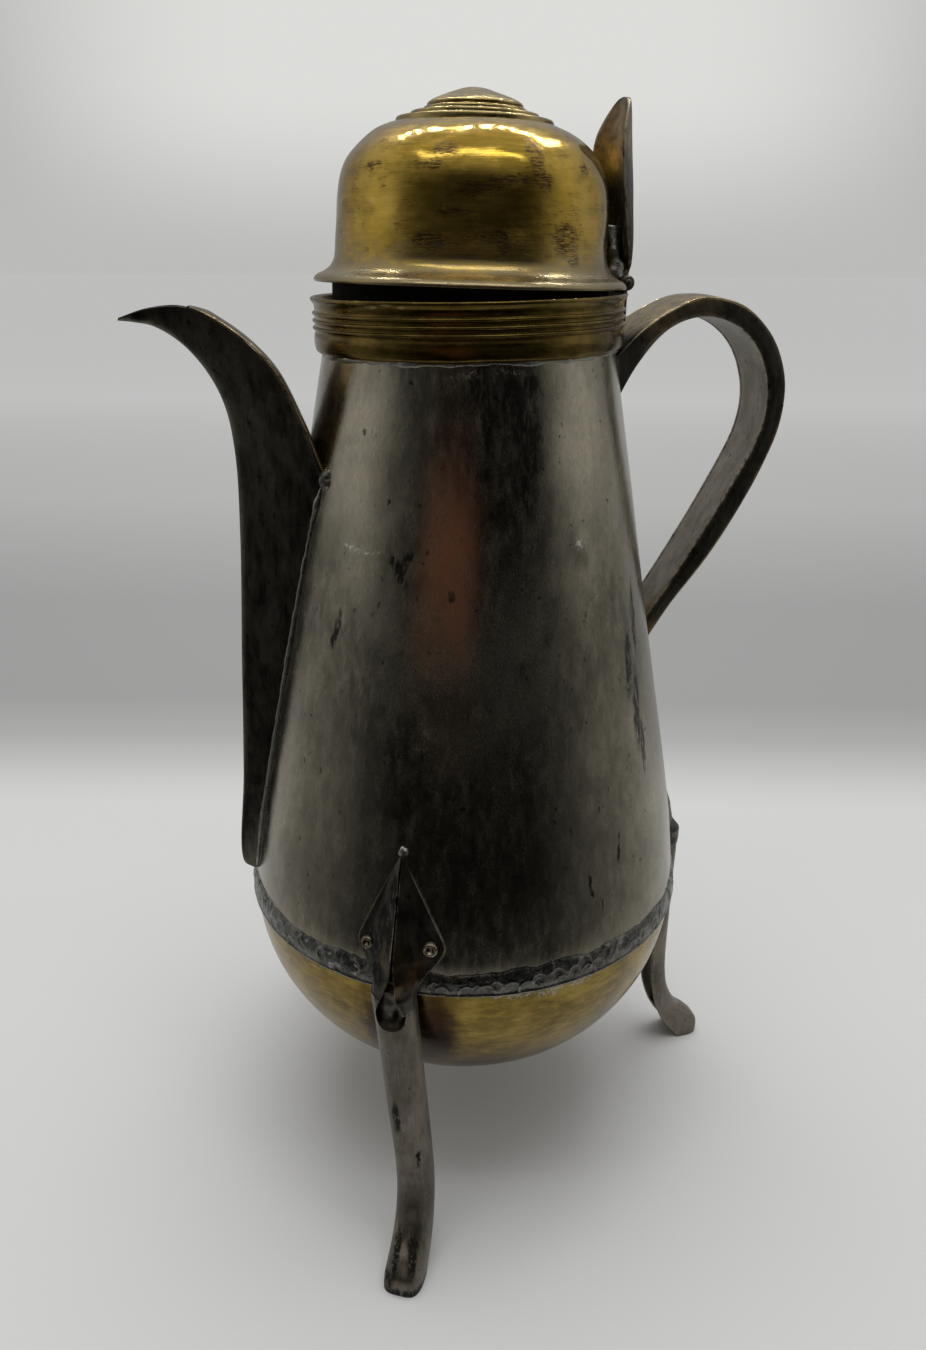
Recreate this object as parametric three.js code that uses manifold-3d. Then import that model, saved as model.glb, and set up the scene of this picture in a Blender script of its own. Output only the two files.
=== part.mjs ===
// Three-legged metal coffee pot with a hinged brass lid.
// Millimetres, +Z up. The origin is where the pot's centre line meets the table.
// The spout points along -X, the handle along +X, and the lid hinge runs along Y.
import * as THREE from 'three';
import { mergeVertices } from 'three/addons/utils/BufferGeometryUtils.js';
import Module from 'manifold-3d';

const wasm = await Module();
wasm.setup();

// ---- driving dimensions ----
const fit = 0.3;                 // gap left between pieces that touch
const around = 36;               // facets round every turned piece
const sheet = 1.0;               // thickness of the tinned body sheet

const seamRadius = 62.3;         // widest radius, where body and bowl meet
const seamHeight = 81;
const neckTop = 235;
const bodyLine = [               // radius and height of the body's outside
  [62.3, seamHeight], [61.9, 90], [59.9, 105], [56.1, 126],
  [49.2, 164], [42.3, 201.8], [37.4, 228], [36.6, neckTop],
];

const bowlBottom = 27.9;
const bowlFullness = 0.82;       // below 1 makes the bowl fuller than half an ellipse
const bowlSheet = 1.1;

const bandBottom = 79.6;
const bandTop = 87;
const bandProud = 1.5;           // how far the solder band stands out from the body

const headTilt = -1.2;           // degrees: collar and lid sit low on the spout side
const rimRadius = 39.2;
const rimHeight = 244.5;
const collarBottom = 231.8;
const collarBore = 37.4;
const beadHeights = [237.3, 239.0, 240.7];

const lidFlangeRadius = 38.4;
const lidOffset = 0.4;           // the lid was soldered on slightly towards the hinge
const lidFlangeHeight = 244.9;
const lidWallRadius = 33.2;
const lidTop = 280.2;
const lidSheet = 0.9;
const capRings = [[18.4, 281.3], [15.0, 282.6], [12.0, 283.7]];
const buttonRadius = 11.2;
const buttonTop = 288.1;
const bezelRadius = 34.0;
const bezelBottom = 239.2;

const hinge = { x: 39.6, z: 246.4, barrel: 1.8, pin: 0.8, bore: 0.86, half: 7.4, knuckle: 2.5 };
const lidAjar = 2.35;            // degrees the lid stands open at rest

const spoutSheet = 0.9;
const stripSheet = 0.8;
const stripCrown = 0.6;

const handleTop = 9.8;           // half width of the handle at the collar
const handleEnd = 6.4;           // half width of the handle where it meets the body again
const handleSheet = 1.0;
const handleCrown = 0.5;         // how far the middle of the handle's back stands out

const legAngles = { front: -120, back: 0, far: 120 };
const legHalfWidths = [5.35, 4.8, 4.5, 4.7, 5.0, 5.2];   // from the top down to the foot
const legSheet = 1.1;
const legTop = 83.2;
const frontLegBend = 4.9;        // the front leg's foot is bent this far sideways
const spadeHalfWidth = 11.3;
const spadeTip = 117.5;
const spadeWidest = 93;
const rivetHeight = 94.5;
const rivetOffset = 8;

// ---- helpers ----
const radians = THREE.MathUtils.degToRad;

// A closed geometry as a solid, turned right side out if it needs it.
function solid(geometry) {
  const bare = new THREE.BufferGeometry();
  bare.setAttribute('position', geometry.getAttribute('position').clone());
  if (geometry.index) bare.setIndex(geometry.index.clone());
  const merged = mergeVertices(bare, 1e-4);
  const p = merged.getAttribute('position').array;
  const old = merged.index.array;
  const kept = [];
  let volume = 0;
  for (let i = 0; i < old.length; i += 3) {
    const [a, b, c] = [old[i], old[i + 1], old[i + 2]];
    if (a === b || b === c || c === a) continue;
    kept.push(a, b, c);
    const va = new THREE.Vector3().fromArray(p, 3 * a);
    const vb = new THREE.Vector3().fromArray(p, 3 * b);
    const vc = new THREE.Vector3().fromArray(p, 3 * c);
    volume += va.dot(vb.cross(vc));
  }
  if (volume < 0) kept.reverse();
  return new wasm.Manifold(new wasm.Mesh({
    numProp: 3,
    vertProperties: new Float32Array(p),
    triVerts: new Uint32Array(kept),
  }));
}

function geometryOf(manifold) {
  const mesh = manifold.getMesh();
  const geometry = new THREE.BufferGeometry();
  geometry.setAttribute('position', new THREE.BufferAttribute(mesh.vertProperties, 3));
  geometry.setIndex(new THREE.BufferAttribute(mesh.triVerts, 1));
  const flat = geometry.toNonIndexed();
  flat.computeVertexNormals();
  return flat;
}

// Turns a closed outline of [radius, height] points about the centre line.
function turned(outline, segments = around) {
  const points = outline.map(([r, z]) => new THREE.Vector2(r, z));
  const open = points[0].distanceTo(points.at(-1)) > 1e-6;
  if (open && (points[0].x > 1e-6 || points.at(-1).x > 1e-6)) points.push(points[0].clone());
  return solid(new THREE.LatheGeometry(points, segments).rotateX(Math.PI / 2));
}

function box(x0, x1, y0, y1, z0, z1) {
  const geometry = new THREE.BoxGeometry(x1 - x0, y1 - y0, z1 - z0);
  return solid(geometry.translate((x0 + x1) / 2, (y0 + y1) / 2, (z0 + z1) / 2));
}

// A round bar along Y from y0 to y1.
function barY(x, z, radius, y0, y1, segments = 24) {
  const geometry = new THREE.CylinderGeometry(radius, radius, y1 - y0, segments);
  return solid(geometry.translate(x, (y0 + y1) / 2, z));
}

// A flat outline of [y, z] points carried along X.
function plateX(outline, x0, x1) {
  const shape = new THREE.Shape(outline.map(([y, z]) => new THREE.Vector2(y, z)));
  const geometry = new THREE.ExtrudeGeometry(shape, { depth: x1 - x0, bevelEnabled: false });
  geometry.rotateX(Math.PI / 2).rotateZ(Math.PI / 2);
  return solid(geometry.translate(x0, 0, 0));
}

// The same outline on the other side of Y, added to close a symmetric shape.
function mirrored(half) {
  const other = half.filter(([y]) => y > 1e-6).map(([y, z]) => [-y, z]).reverse();
  return [...half, ...other];
}

// A skin through sections that all have the same number of points, capped at both ends.
function loft(sections) {
  const n = sections[0].length;
  const position = [];
  sections.forEach((ring) => ring.forEach((v) => position.push(v.x, v.y, v.z)));
  const index = [];
  for (let s = 0; s + 1 < sections.length; s += 1) {
    for (let i = 0; i < n; i += 1) {
      const a = s * n + i;
      const b = s * n + ((i + 1) % n);
      index.push(a, b, a + n, b, b + n, a + n);
    }
  }
  const cap = (ring, start, flip) => {
    const centre = ring.reduce((sum, v) => sum.add(v), new THREE.Vector3()).divideScalar(n);
    const normal = new THREE.Vector3();
    ring.forEach((v, i) => {
      const w = ring[(i + 1) % n];
      normal.add(v.clone().sub(centre).cross(w.clone().sub(centre)));
    });
    normal.normalize();
    const across = ring[0].clone().sub(centre);
    across.addScaledVector(normal, -across.dot(normal)).normalize();
    const up = normal.clone().cross(across);
    const flat = ring.map((v) => {
      const d = v.clone().sub(centre);
      return new THREE.Vector2(d.dot(across), d.dot(up));
    });
    THREE.ShapeUtils.triangulateShape(flat, []).forEach(([a, b, c]) => {
      index.push(start + a, start + (flip ? c : b), start + (flip ? b : c));
    });
  };
  cap(sections[0], 0, true);
  cap(sections.at(-1), (sections.length - 1) * n, false);
  const geometry = new THREE.BufferGeometry();
  geometry.setAttribute('position', new THREE.Float32BufferAttribute(position, 3));
  geometry.setIndex(index);
  return solid(geometry);
}

function curve(points) {
  const list = points.map(([x, z]) => new THREE.Vector3(x, 0, z));
  return new THREE.CatmullRomCurve3(list);
}

// Walks two matching side curves together and places a section between each pair of
// points. section(length, t) gives [depth, y] points, with depth 0 on the first curve.
// sideways(z), if given, moves every point along Y by an amount that depends on its height.
function between(first, second, steps, section, { from = 0, to = 1, sideways = () => 0 } = {}) {
  const sections = [];
  for (let i = 0; i <= steps; i += 1) {
    const t = from + ((to - from) * i) / steps;
    const a = first.getPoint(t);
    const b = second.getPoint(t);
    const length = a.distanceTo(b);
    const inward = b.clone().sub(a).divideScalar(length);
    sections.push(section(length, t).map(([depth, y]) => {
      const v = a.clone().addScaledVector(inward, depth);
      v.y = y + sideways(v.z);
      return v;
    }));
  }
  return loft(sections);
}

// ---- the turned surfaces ----
const bodySpline = new THREE.SplineCurve(bodyLine.map(([r, z]) => new THREE.Vector2(r, z)));
const bodyOuter = bodySpline.getPoints(8).map((p) => [p.x, p.y]);

function grown(line, amount) {
  return line.map(([r, z]) => [r + amount, z]);
}

function bodyRadius(z) {
  const i = Math.max(1, bodyOuter.findIndex(([, height]) => height >= z));
  const [r0, z0] = bodyOuter[i - 1];
  const [r1, z1] = bodyOuter[i];
  return r0 + ((r1 - r0) * (z - z0)) / (z1 - z0);
}

function bowlLine(inset, steps) {
  const line = [];
  const drop = seamHeight - bowlBottom - inset;
  for (let i = 0; i <= steps; i += 1) {
    const a = (i / steps) * (Math.PI / 2);
    const r = i === steps ? 0 : (seamRadius - inset) * Math.cos(a) ** bowlFullness;
    line.push([r, seamHeight - fit - drop * Math.sin(a)]);
  }
  return line;
}

// The body's outside and everything within it, grown by an amount.
function bodyGuard(amount) {
  const foot = seamHeight - 6;
  return turned([[0, foot], [seamRadius + amount, foot], ...grown(bodyOuter, amount), [0, neckTop]]);
}

const bodyClear = bodyGuard(fit);
const bandClear = turned([
  [0, 75], [seamRadius + bandProud + fit, 75], [seamRadius + bandProud + fit, bandTop + fit],
  [0, bandTop + fit],
]);

const collarOutside = [[38.0, collarBottom], [38.5, 233.2], [38.7, 235.2], [38.4, 236.5]];
beadHeights.forEach((z) => {
  collarOutside.push([39.0, z - 0.35], [39.0, z + 0.35], [38.5, z + 0.85]);
});
collarOutside.push([38.6, 242.7], [rimRadius, 243.6], [rimRadius, 244.2], [38.7, rimHeight]);
const collarClear = turned([
  [0, collarBottom - fit], [38.5, collarBottom - fit], [rimRadius + 0.1, 235],
  [rimRadius + fit, 239], [rimRadius + fit, 248], [0, 248],
]);

const lidOutside = [
  [lidFlangeRadius, lidFlangeHeight + 0.3], [lidFlangeRadius, 245.9], [37.6, 246.7],
  [35.6, 247.6], [34.2, 248.9], [33.4, 250.6], [lidWallRadius, 253], [32.7, 263.8],
  [31.9, 268.8], [30.2, 272.5], [27.6, 275.5], [24.5, 277.8], [21.5, 279.2],
  [18.6, lidTop - 0.1], [0, lidTop],
];
const lidInside = [
  [0, lidTop - lidSheet], [18.4, 279.2], [21.1, 278.4], [24.0, 277.0], [26.9, 274.8],
  [29.4, 271.9], [31.0, 268.4], [31.8, 263.7], [32.3, 253], [32.5, 250.4], [33.4, 248.4],
  [35.1, 246.8], [37.0, 245.8], [37.6, lidFlangeHeight],
];

// ---- spout: the keel, the upper edge of its walls, and their half width ----
const keel = curve([
  [-62.4, 88.6], [-65.7, 92.4], [-63.9, 120], [-62.1, 153], [-60.2, 187], [-60.0, 207],
  [-61.6, 218.5], [-65.0, 226.4], [-70.3, 233.2], [-76.4, 237.3], [-80.8, 238.3], [-84.5, 238.7],
]);
const spoutEdge = curve([
  [-60.5, 88.6], [-60.0, 93.5], [-55.5, 122], [-47.5, 156], [-38.0, 192], [-42.2, 208.6],
  [-45.3, 217.3], [-50.4, 227.8], [-58.6, 236.0], [-69.0, 241.6], [-77.4, 241.4], [-84.3, 239.3],
]);
const spoutHalf = [0.5, 1.2, 3.9, 7.9, 12.9, 12.4, 11.2, 9.4, 7.1, 4.3, 1.9, 0.35];
const spoutSpline = new THREE.SplineCurve(spoutHalf.map((w, i) => new THREE.Vector2(i, w)));
const spoutWidth = (t) => Math.max(0.3, spoutSpline.getPoint(t).y);

function spoutSection(length, t) {
  const w = spoutWidth(t);
  const wall = Math.min(spoutSheet, 0.45 * w);
  const bottom = Math.min(1.4, 0.5 * length);
  return [[0, 0], [length, w], [length, w - wall], [bottom, 0], [length, wall - w], [length, -w]];
}

function spoutEnvelope(length, t) {
  const w = spoutWidth(t) + 0.7;
  const top = length + fit + stripSheet + 0.5;
  return [[-0.7, 0], [length, w], [top, w], [top + stripCrown, 0], [top, -w], [length, -w]];
}

function stripSection(length, t) {
  const w = spoutWidth(t) + 0.3;
  const low = [];
  const high = [];
  for (let i = 0; i <= 6; i += 1) {
    const y = w * (1 - i / 3);
    const crown = length + fit + stripCrown * (1 - (y / w) ** 2);
    low.push([crown, y]);
    high.unshift([crown + stripSheet, y]);
  }
  return [...low, ...high];
}

// ---- handle: outer and inner edges of its channel, and its tapering half width ----
const handleOuter = curve([
  [36.0, 229.6], [43.0, 235.9], [50.8, 240.7], [60.5, 244.0], [72.7, 241.4], [82.0, 233.7],
  [87.1, 222.3], [86.8, 210.2], [80.9, 194.4], [70.2, 175.6], [58.7, 160.1], [48.2, 143.1],
]);
const handleInner = curve([
  [35.0, 214.5], [42.9, 228.2], [51.3, 236.5], [60.6, 239.1], [70.5, 236.8], [78.0, 230.3],
  [82.1, 220.5], [81.7, 210.0], [75.8, 196.8], [65.2, 178.4], [55.0, 162.2], [44.0, 147.0],
]);
const handleHalf = (t) => THREE.MathUtils.lerp(handleTop, handleEnd, t);

function handleSection(length, t) {
  const h = handleHalf(t);
  const s = handleSheet;
  const outside = [
    [length, h], [0, h], [-0.35, h * 0.7], [-handleCrown, 0], [-0.35, -h * 0.7], [0, -h],
    [length, -h],
  ];
  const inside = [
    [length, s - h], [s, s - h], [s - 0.35, -h * 0.66], [s - handleCrown, 0],
    [s - 0.35, h * 0.66], [s, h - s], [length, h - s],
  ];
  return [...outside, ...inside];
}

function handleEnvelope(length, t) {
  const h = handleHalf(t) + fit;
  return [[-0.9, h], [length + fit, h], [length + fit, -h], [-0.9, -h]];
}

function linerSection(length, t) {
  const h = handleHalf(t) - handleSheet - fit;
  return [[length - 0.9, h], [length - 0.9, -h], [length - 1.8, -h], [length - 1.8, h]];
}

// ---- legs: radius and height along the front crest and along the open back edges ----
const legCrest = curve([
  [71.4, legTop], [71.0, 69], [71.0, 51], [71.0, 38], [71.5, 28], [73.0, 20.2], [77.2, 12.4],
  [81.8, 8.4], [84.9, 4.6], [85.0, 1.0], [84.6, -2.0],
]);
const legBack = curve([
  [64.9, legTop], [64.7, 69], [64.6, 51], [64.8, 38], [65.4, 27], [67.0, 18.3], [69.8, 10.6],
  [73.2, 5.0], [75.8, 1.8], [77.2, -1.0], [77.8, -3.2],
]);

function legArch(length, halfWidth, inset, steps) {
  const points = [];
  for (let i = 0; i <= steps; i += 1) {
    const a = Math.PI * (i / steps - 0.5);
    points.push([inset + (length - inset) * (1 - Math.cos(a)), halfWidth * Math.sin(a)]);
  }
  return points;
}

const legWidths = new THREE.SplineCurve(legHalfWidths.map((w, i) => new THREE.Vector2(i, w)));

function legSection(length, t) {
  const half = legWidths.getPoint(t).y;
  const outside = legArch(length, half, 0, 6);
  return [...outside, ...legArch(length, half - legSheet, legSheet, 6).reverse()];
}

// One leg, standing along +X, with its foot moved sideways by bend.
function makeLeg(bend) {
  const drop = (z) => Math.min(1, Math.max(0, (legTop - z) / legTop));
  const sideways = (z) => bend * (1 - (1 - drop(z)) ** 2);
  const channel = between(legCrest, legBack, 16, legSection, { sideways });
  const full = (length, t) => legArch(length, legWidths.getPoint(t).y - 0.05, 0.05, 6);
  const toe = between(legCrest, legBack, 6, full, { from: 0.62, to: 0.999, sideways });
  const mouth = plateX(mirrored([[1.8, 73.2], [3.4, 75], [4.0, 78], [4.0, 85]]), 68, 76);
  return channel.add(toe).subtract(mouth).intersect(box(40, 110, -40, 40, 0, 100));
}

// The spade bracket of one leg: two wings on the body, a folded ridge with a slit between
// them, and a stem that goes down into the leg.
function makeSpade() {
  const outline = mirrored([
    [0, spadeTip], [spadeHalfWidth, spadeWidest], [10.6, 90.4], [6.4, 84.6], [5.2, 83.6],
    [3.7, 83.6], [2.8, 77],
  ]);
  const skin = bodyGuard(1.5).add(turned([
    [0, 75], [seamRadius + bandProud + 1.7, 75], [seamRadius + bandProud + 1.7, 88.4], [0, 88.4],
  ]));
  const wings = plateX(outline, 30, 80).intersect(skin);
  const ridge = loft([
    [58.0, 59.9, 117.0, 0.3], [57.0, 65.6, 102, 2.8], [57.0, 69.4, 91.5, 4.4], [58.0, 71.0, 84.5, 3.2],
    [62.0, 67.6, 79.5, 2.4],
  ].map(([back, crest, z, half]) => [
    new THREE.Vector3(back, -half * 1.2, z), new THREE.Vector3(crest - 1.2, -half * 0.34, z),
    new THREE.Vector3(crest, -0.5, z), new THREE.Vector3(crest, 0.5, z),
    new THREE.Vector3(crest - 1.2, half * 0.34, z), new THREE.Vector3(back, half * 1.2, z),
  ]));
  const slit = loft([
    [60.9, 112], [66.6, 98.0], [70.0, 86.8], [67.5, 78],
  ].map(([r, z]) => [
    new THREE.Vector3(r, -0.25, z), new THREE.Vector3(r + 6, -0.25, z),
    new THREE.Vector3(r + 6, 0.25, z), new THREE.Vector3(r, 0.25, z),
  ]));
  let spade = wings.add(ridge).subtract(bodyClear).subtract(bandClear).subtract(slit);
  [-1, 1].forEach((side) => {
    spade = spade.subtract(rivetBar(side, 1.4, 50, 80));
  });
  return spade;
}

// A bar along the line of one rivet of the leg that stands along +X.
function rivetBar(side, radius, from, to) {
  const geometry = new THREE.CylinderGeometry(radius, radius, to - from, 12).rotateZ(-Math.PI / 2);
  geometry.translate((from + to) / 2, 0, rivetHeight);
  return solid(geometry.rotateZ(side * Math.asin(rivetOffset / bodyRadius(rivetHeight))));
}

function makeRivet(side) {
  const skin = bodyRadius(rivetHeight);
  const profile = [
    [0, skin - 1.8], [1.1, skin - 1.8], [1.1, skin + 1.8], [2.1, skin + 1.8], [1.9, skin + 2.4],
    [1.2, skin + 2.9], [0, skin + 3.1],
  ].map(([r, x]) => new THREE.Vector2(r, x));
  const geometry = new THREE.LatheGeometry(profile, 12).rotateZ(-Math.PI / 2);
  geometry.translate(0, 0, rivetHeight);
  return solid(geometry.rotateZ(side * Math.asin(rivetOffset / skin)));
}

// ---- the pieces ----
const tinned = { color: 0x4b4b48, roughness: 0.42, metalness: 1 };
const darkTin = { color: 0x34332f, roughness: 0.5, metalness: 1 };
const solder = { color: 0x6c6c68, roughness: 0.55, metalness: 1 };
const brass = { color: 0x8a6c2c, roughness: 0.35, metalness: 1 };
const darkBrass = { color: 0x5c4422, roughness: 0.45, metalness: 1 };
const steel = { color: 0x55504a, roughness: 0.5, metalness: 1 };

const group = new THREE.Group();
group.name = 'tripod_coffee_pot';

// The collar and everything on it hang in one group that is tilted about the neck.
const head = new THREE.Group();
head.position.set(0, 0, collarBottom);
head.rotation.y = radians(headTilt);
const onHead = new THREE.Group();
onHead.position.set(0, 0, -collarBottom);
head.add(onHead);
group.add(head);

// The lid is modelled shut and hangs in a group turned about the hinge to where it rests.
const lid = new THREE.Group();
lid.position.set(hinge.x, 0, hinge.z);
lid.rotation.y = radians(lidAjar);
const onLid = new THREE.Group();
onLid.position.set(-hinge.x, 0, -hinge.z);
lid.add(onLid);
onHead.add(lid);

function place(name, manifold, look, parent = group) {
  const mesh = new THREE.Mesh(geometryOf(manifold), new THREE.MeshStandardMaterial(look));
  mesh.name = name;
  parent.add(mesh);
}

// Body: one sheet cone with strainer holes behind the spout and rivet holes for the legs.
let body = turned([...bodyOuter, ...grown(bodyOuter, -sheet).reverse()]);
for (let row = 0; row < 4; row += 1) {
  const count = 2 + (row % 2);
  for (let k = 0; k < count; k += 1) {
    const z = 185 - row * 11;
    const hole = new THREE.CylinderGeometry(1.7, 1.7, 30, 10).rotateZ(Math.PI / 2);
    hole.translate(-bodyRadius(z), (k - (count - 1) / 2) * 6.4, z);
    body = body.subtract(solid(hole));
  }
}
Object.values(legAngles).forEach((angle) => {
  [-1, 1].forEach((side) => {
    const bar = geometryOf(rivetBar(side, 1.4, 50, 80)).rotateZ(radians(angle));
    body = body.subtract(solid(bar));
  });
});
place('pot_body', body, tinned);
place('pot_bowl', turned([...bowlLine(0, 8), ...bowlLine(bowlSheet, 8).reverse()]), brass);
place('seam_band', turned([
  [seamRadius + fit, bandBottom], [seamRadius + bandProud - 0.3, bandBottom],
  [seamRadius + bandProud, bandBottom + 1.2], [seamRadius + bandProud - 0.2, bandTop - 2.5],
  [seamRadius + 0.7, bandTop], [seamRadius + fit, bandTop],
]), solder);

// Spout: a folded V of sheet, closed on top by a crowned strip.
const spoutShell = between(keel, spoutEdge, 33, spoutSection).subtract(bodyClear);
const stripReach = { from: 0.4, to: 0.815 };
const spoutStrip = between(keel, spoutEdge, 18, stripSection, stripReach).subtract(bodyClear);
const spoutPatch = plateX(mirrored([
  [0, 89.2], [1.8, 89.5], [3.6, 114], [6.2, 136], [10.4, 165], [14.2, 196], [14.4, 205],
  [10, 213.5],
]), -75, -20);
const spoutJoint = bodyGuard(fit + 1.0).subtract(bodyClear).intersect(spoutPatch);
place('spout_shell', spoutShell, darkTin);
place('spout_strip', spoutStrip, darkBrass);
place('spout_solder', spoutJoint.subtract(between(keel, spoutEdge, 30, spoutEnvelope)), solder);

// Handle: a strap bent to a channel, closed inside by a narrow liner, soldered at both ends.
const rootClear = bodyClear.add(collarClear);
const strap = between(handleOuter, handleInner, 30, handleSection).subtract(rootClear);
const linerReach = { from: 0.12, to: 0.975 };
const liner = between(handleOuter, handleInner, 26, linerSection, linerReach).subtract(rootClear);
const rootSkin = bodyGuard(fit + 1.1).subtract(bodyClear);
const handleClear = between(handleOuter, handleInner, 24, handleEnvelope);
const upperRoot = plateX(mirrored([[6, 213], [10.6, 216.5], [12, 223], [11.6, 230.9]]), 20, 60);
const lowerRoot = plateX(mirrored([
  [5, 144.5], [8.6, 147], [9.4, 153], [8.8, 160], [6, 164.5],
]), 20, 70);
place('handle_strap', strap, darkTin);
place('handle_liner', liner, tinned);
place('handle_solder_upper', rootSkin.intersect(upperRoot).subtract(handleClear), solder);
place('handle_solder_lower', rootSkin.intersect(lowerRoot).subtract(handleClear), solder);

// Legs: a folded half-round leg, a spade bracket and two rivets each.
Object.entries(legAngles).forEach(([name, angle]) => {
  const leg = new THREE.Group();
  leg.rotation.z = radians(angle);
  group.add(leg);
  place(`leg_${name}`, makeLeg(name === 'front' ? frontLegBend : 0), tinned, leg);
  place(`leg_${name}_spade`, makeSpade(), darkTin, leg);
  place(`leg_${name}_rivet_a`, makeRivet(-1), steel, leg);
  place(`leg_${name}_rivet_b`, makeRivet(1), steel, leg);
});

// Collar, with the hinge: a curved plate with two knuckles, and its pin.
place('collar', turned([
  ...collarOutside, [37.7, 244.4], [collarBore, 243.8], [collarBore, collarBottom],
]), darkBrass, onHead);

let hingePlate = turned([
  [rimRadius + fit, 236.6], [rimRadius + fit + 1.1, 236.6], [rimRadius + fit + 1.1, 245.4],
  [rimRadius + fit, 245.4],
]).intersect(box(30, 50, -hinge.half, hinge.half, 235, 247));
const gap = hinge.knuckle + 0.15;
[[-hinge.half, -gap], [gap, hinge.half]].forEach(([y0, y1]) => {
  hingePlate = hingePlate.add(barY(hinge.x, hinge.z, hinge.barrel, y0, y1));
});
hingePlate = hingePlate.subtract(barY(hinge.x, hinge.z, hinge.bore, -10, 10));
hingePlate = hingePlate.subtract(box(30, 50, -gap, gap, 244.2, 251));
place('hinge_plate', hingePlate, steel, onHead);
place('hinge_pin', barY(hinge.x, hinge.z, hinge.pin, -hinge.half - 0.4, hinge.half + 0.4), steel, onHead);

// Lid: the dome is cut away round the hinge barrel.
const offset = new THREE.Group();
offset.position.x = lidOffset;
onLid.add(offset);
const barrelClear = barY(hinge.x - lidOffset, hinge.z, hinge.barrel + 0.35, -10, 10);
place('lid_dome', turned([...lidOutside, ...lidInside]).subtract(barrelClear), brass, offset);

const capLine = [[18.6, lidTop + fit]];
capRings.forEach(([r, z]) => {
  capLine.push([r + 0.2, z - 0.9], [r, z - 0.3], [r - 0.5, z]);
});
capLine.push([0, 283.9], [0, 282.6], [11.0, 282.6], [14.0, 281.6], [17.4, 280.8], [17.4, lidTop + fit]);
place('lid_cap', turned(capLine), brass, offset);

place('lid_button', turned([
  [buttonRadius, 284.2], [buttonRadius, 284.8], [10.3, 285.7], [8.3, 286.8], [5.6, 287.6],
  [2.8, 288.0], [0, buttonTop], [0, 284.2],
], 28), brass, offset);

place('lid_bezel', turned([
  [bezelRadius, bezelBottom], [bezelRadius, 246.4], [bezelRadius - 0.8, 246.4],
  [bezelRadius - 0.8, bezelBottom],
]), darkBrass, offset);

// Thumb piece: a tall leaf bent like a gutter, open towards the dome. Each entry is a
// height, the leaf's back at its middle, and its half width.
const leafLine = [
  [250.8, 42.4, 4.8], [254, 42.5, 6.8], [259, 42.2, 8.2], [265, 41.6, 9.0], [271, 40.9, 9.4],
  [276, 40.3, 9.2], [280.5, 39.8, 8.1], [284, 39.4, 6.1], [286.6, 39.0, 3.7], [288.2, 38.7, 1.5],
];
function leafSections(grow) {
  return leafLine.map(([z, back, half]) => {
    const front = [];
    const rear = [];
    for (let i = 0; i <= 6; i += 1) {
      const y = (half + grow) * (i / 3 - 1);
      const x = back - 0.06 * y * y;
      rear.push(new THREE.Vector3(x + grow, y, z));
      front.unshift(new THREE.Vector3(x - 1.2 - grow, y, z));
    }
    return [...rear, ...front];
  });
}
const k = hinge.knuckle;
let thumb = loft(leafSections(0));
thumb = thumb.add(box(hinge.x - 1.2, hinge.x + 1.2, -k, k, hinge.z, 252.6));
thumb = thumb.add(box(39.8, 41.6, -k, k, 249.6, 253));
thumb = thumb.add(barY(hinge.x, hinge.z, hinge.barrel, -k, k));
thumb = thumb.subtract(barY(hinge.x, hinge.z, hinge.bore, -10, 10));
place('lid_thumb_piece', thumb, darkTin, onLid);

// Solder fillet between the dome's wall and the leaf.
const domeGrown = [[0, 244], ...grown(lidOutside.slice(0, -1), fit + lidOffset), [0, lidTop + fit]];
const domeClear = turned(domeGrown);
const fillet = loft([
  [248.2, 33, 37.9, 4.0], [251, 33, 44, 4.4], [254, 33, 44, 4.2], [257.0, 36.0, 44, 3.6],
  [258.6, 37.6, 44, 3.0],
].map(([z, x0, x1, half]) => [
  new THREE.Vector3(x0, -half, z), new THREE.Vector3(x1, -half, z),
  new THREE.Vector3(x1, half, z), new THREE.Vector3(x0, half, z),
]));
const behindLeaf = leafSections(fit).map((ring) => ring.map((v, i) => (
  new THREE.Vector3(v.x + (i < 7 ? 8 : 0), v.y, v.z)
)));
const leafClear = loft(behindLeaf).add(box(38.1, 48, -7, 7, 240, 253));
place('lid_solder', fillet.subtract(domeClear).subtract(leafClear), solder, onLid);

export default group;
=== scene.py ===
import math
import random

import bmesh
import bpy
import numpy as np
from mathutils import Matrix, Vector, noise


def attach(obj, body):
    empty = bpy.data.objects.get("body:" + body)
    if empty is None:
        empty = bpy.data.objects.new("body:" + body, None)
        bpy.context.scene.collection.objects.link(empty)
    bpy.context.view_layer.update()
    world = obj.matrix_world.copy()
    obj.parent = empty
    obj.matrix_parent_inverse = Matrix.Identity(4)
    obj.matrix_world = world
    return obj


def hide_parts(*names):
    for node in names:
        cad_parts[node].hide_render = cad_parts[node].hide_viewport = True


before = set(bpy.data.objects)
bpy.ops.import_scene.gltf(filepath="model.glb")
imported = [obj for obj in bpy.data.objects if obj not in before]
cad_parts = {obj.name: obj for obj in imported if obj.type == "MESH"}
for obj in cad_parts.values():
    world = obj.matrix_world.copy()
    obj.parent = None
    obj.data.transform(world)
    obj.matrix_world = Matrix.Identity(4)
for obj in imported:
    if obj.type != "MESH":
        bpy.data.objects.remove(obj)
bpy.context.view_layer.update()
MM = 0.001
WELD = 0.004                             # points closer than this, in mm, are one point
POT, LID = "pot", "lid"


# ---------------------------------------------------------------- camera
CAMERA_PLACE = (-0.0766, -0.2672, 0.2542)
CAMERA_HEADING = math.radians(15.84)     # from +Y towards +X
CAMERA_PITCH = math.radians(-21.965)
CAMERA_ROLL = math.radians(0.5589)
CAMERA_LENS = 28.0


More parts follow.
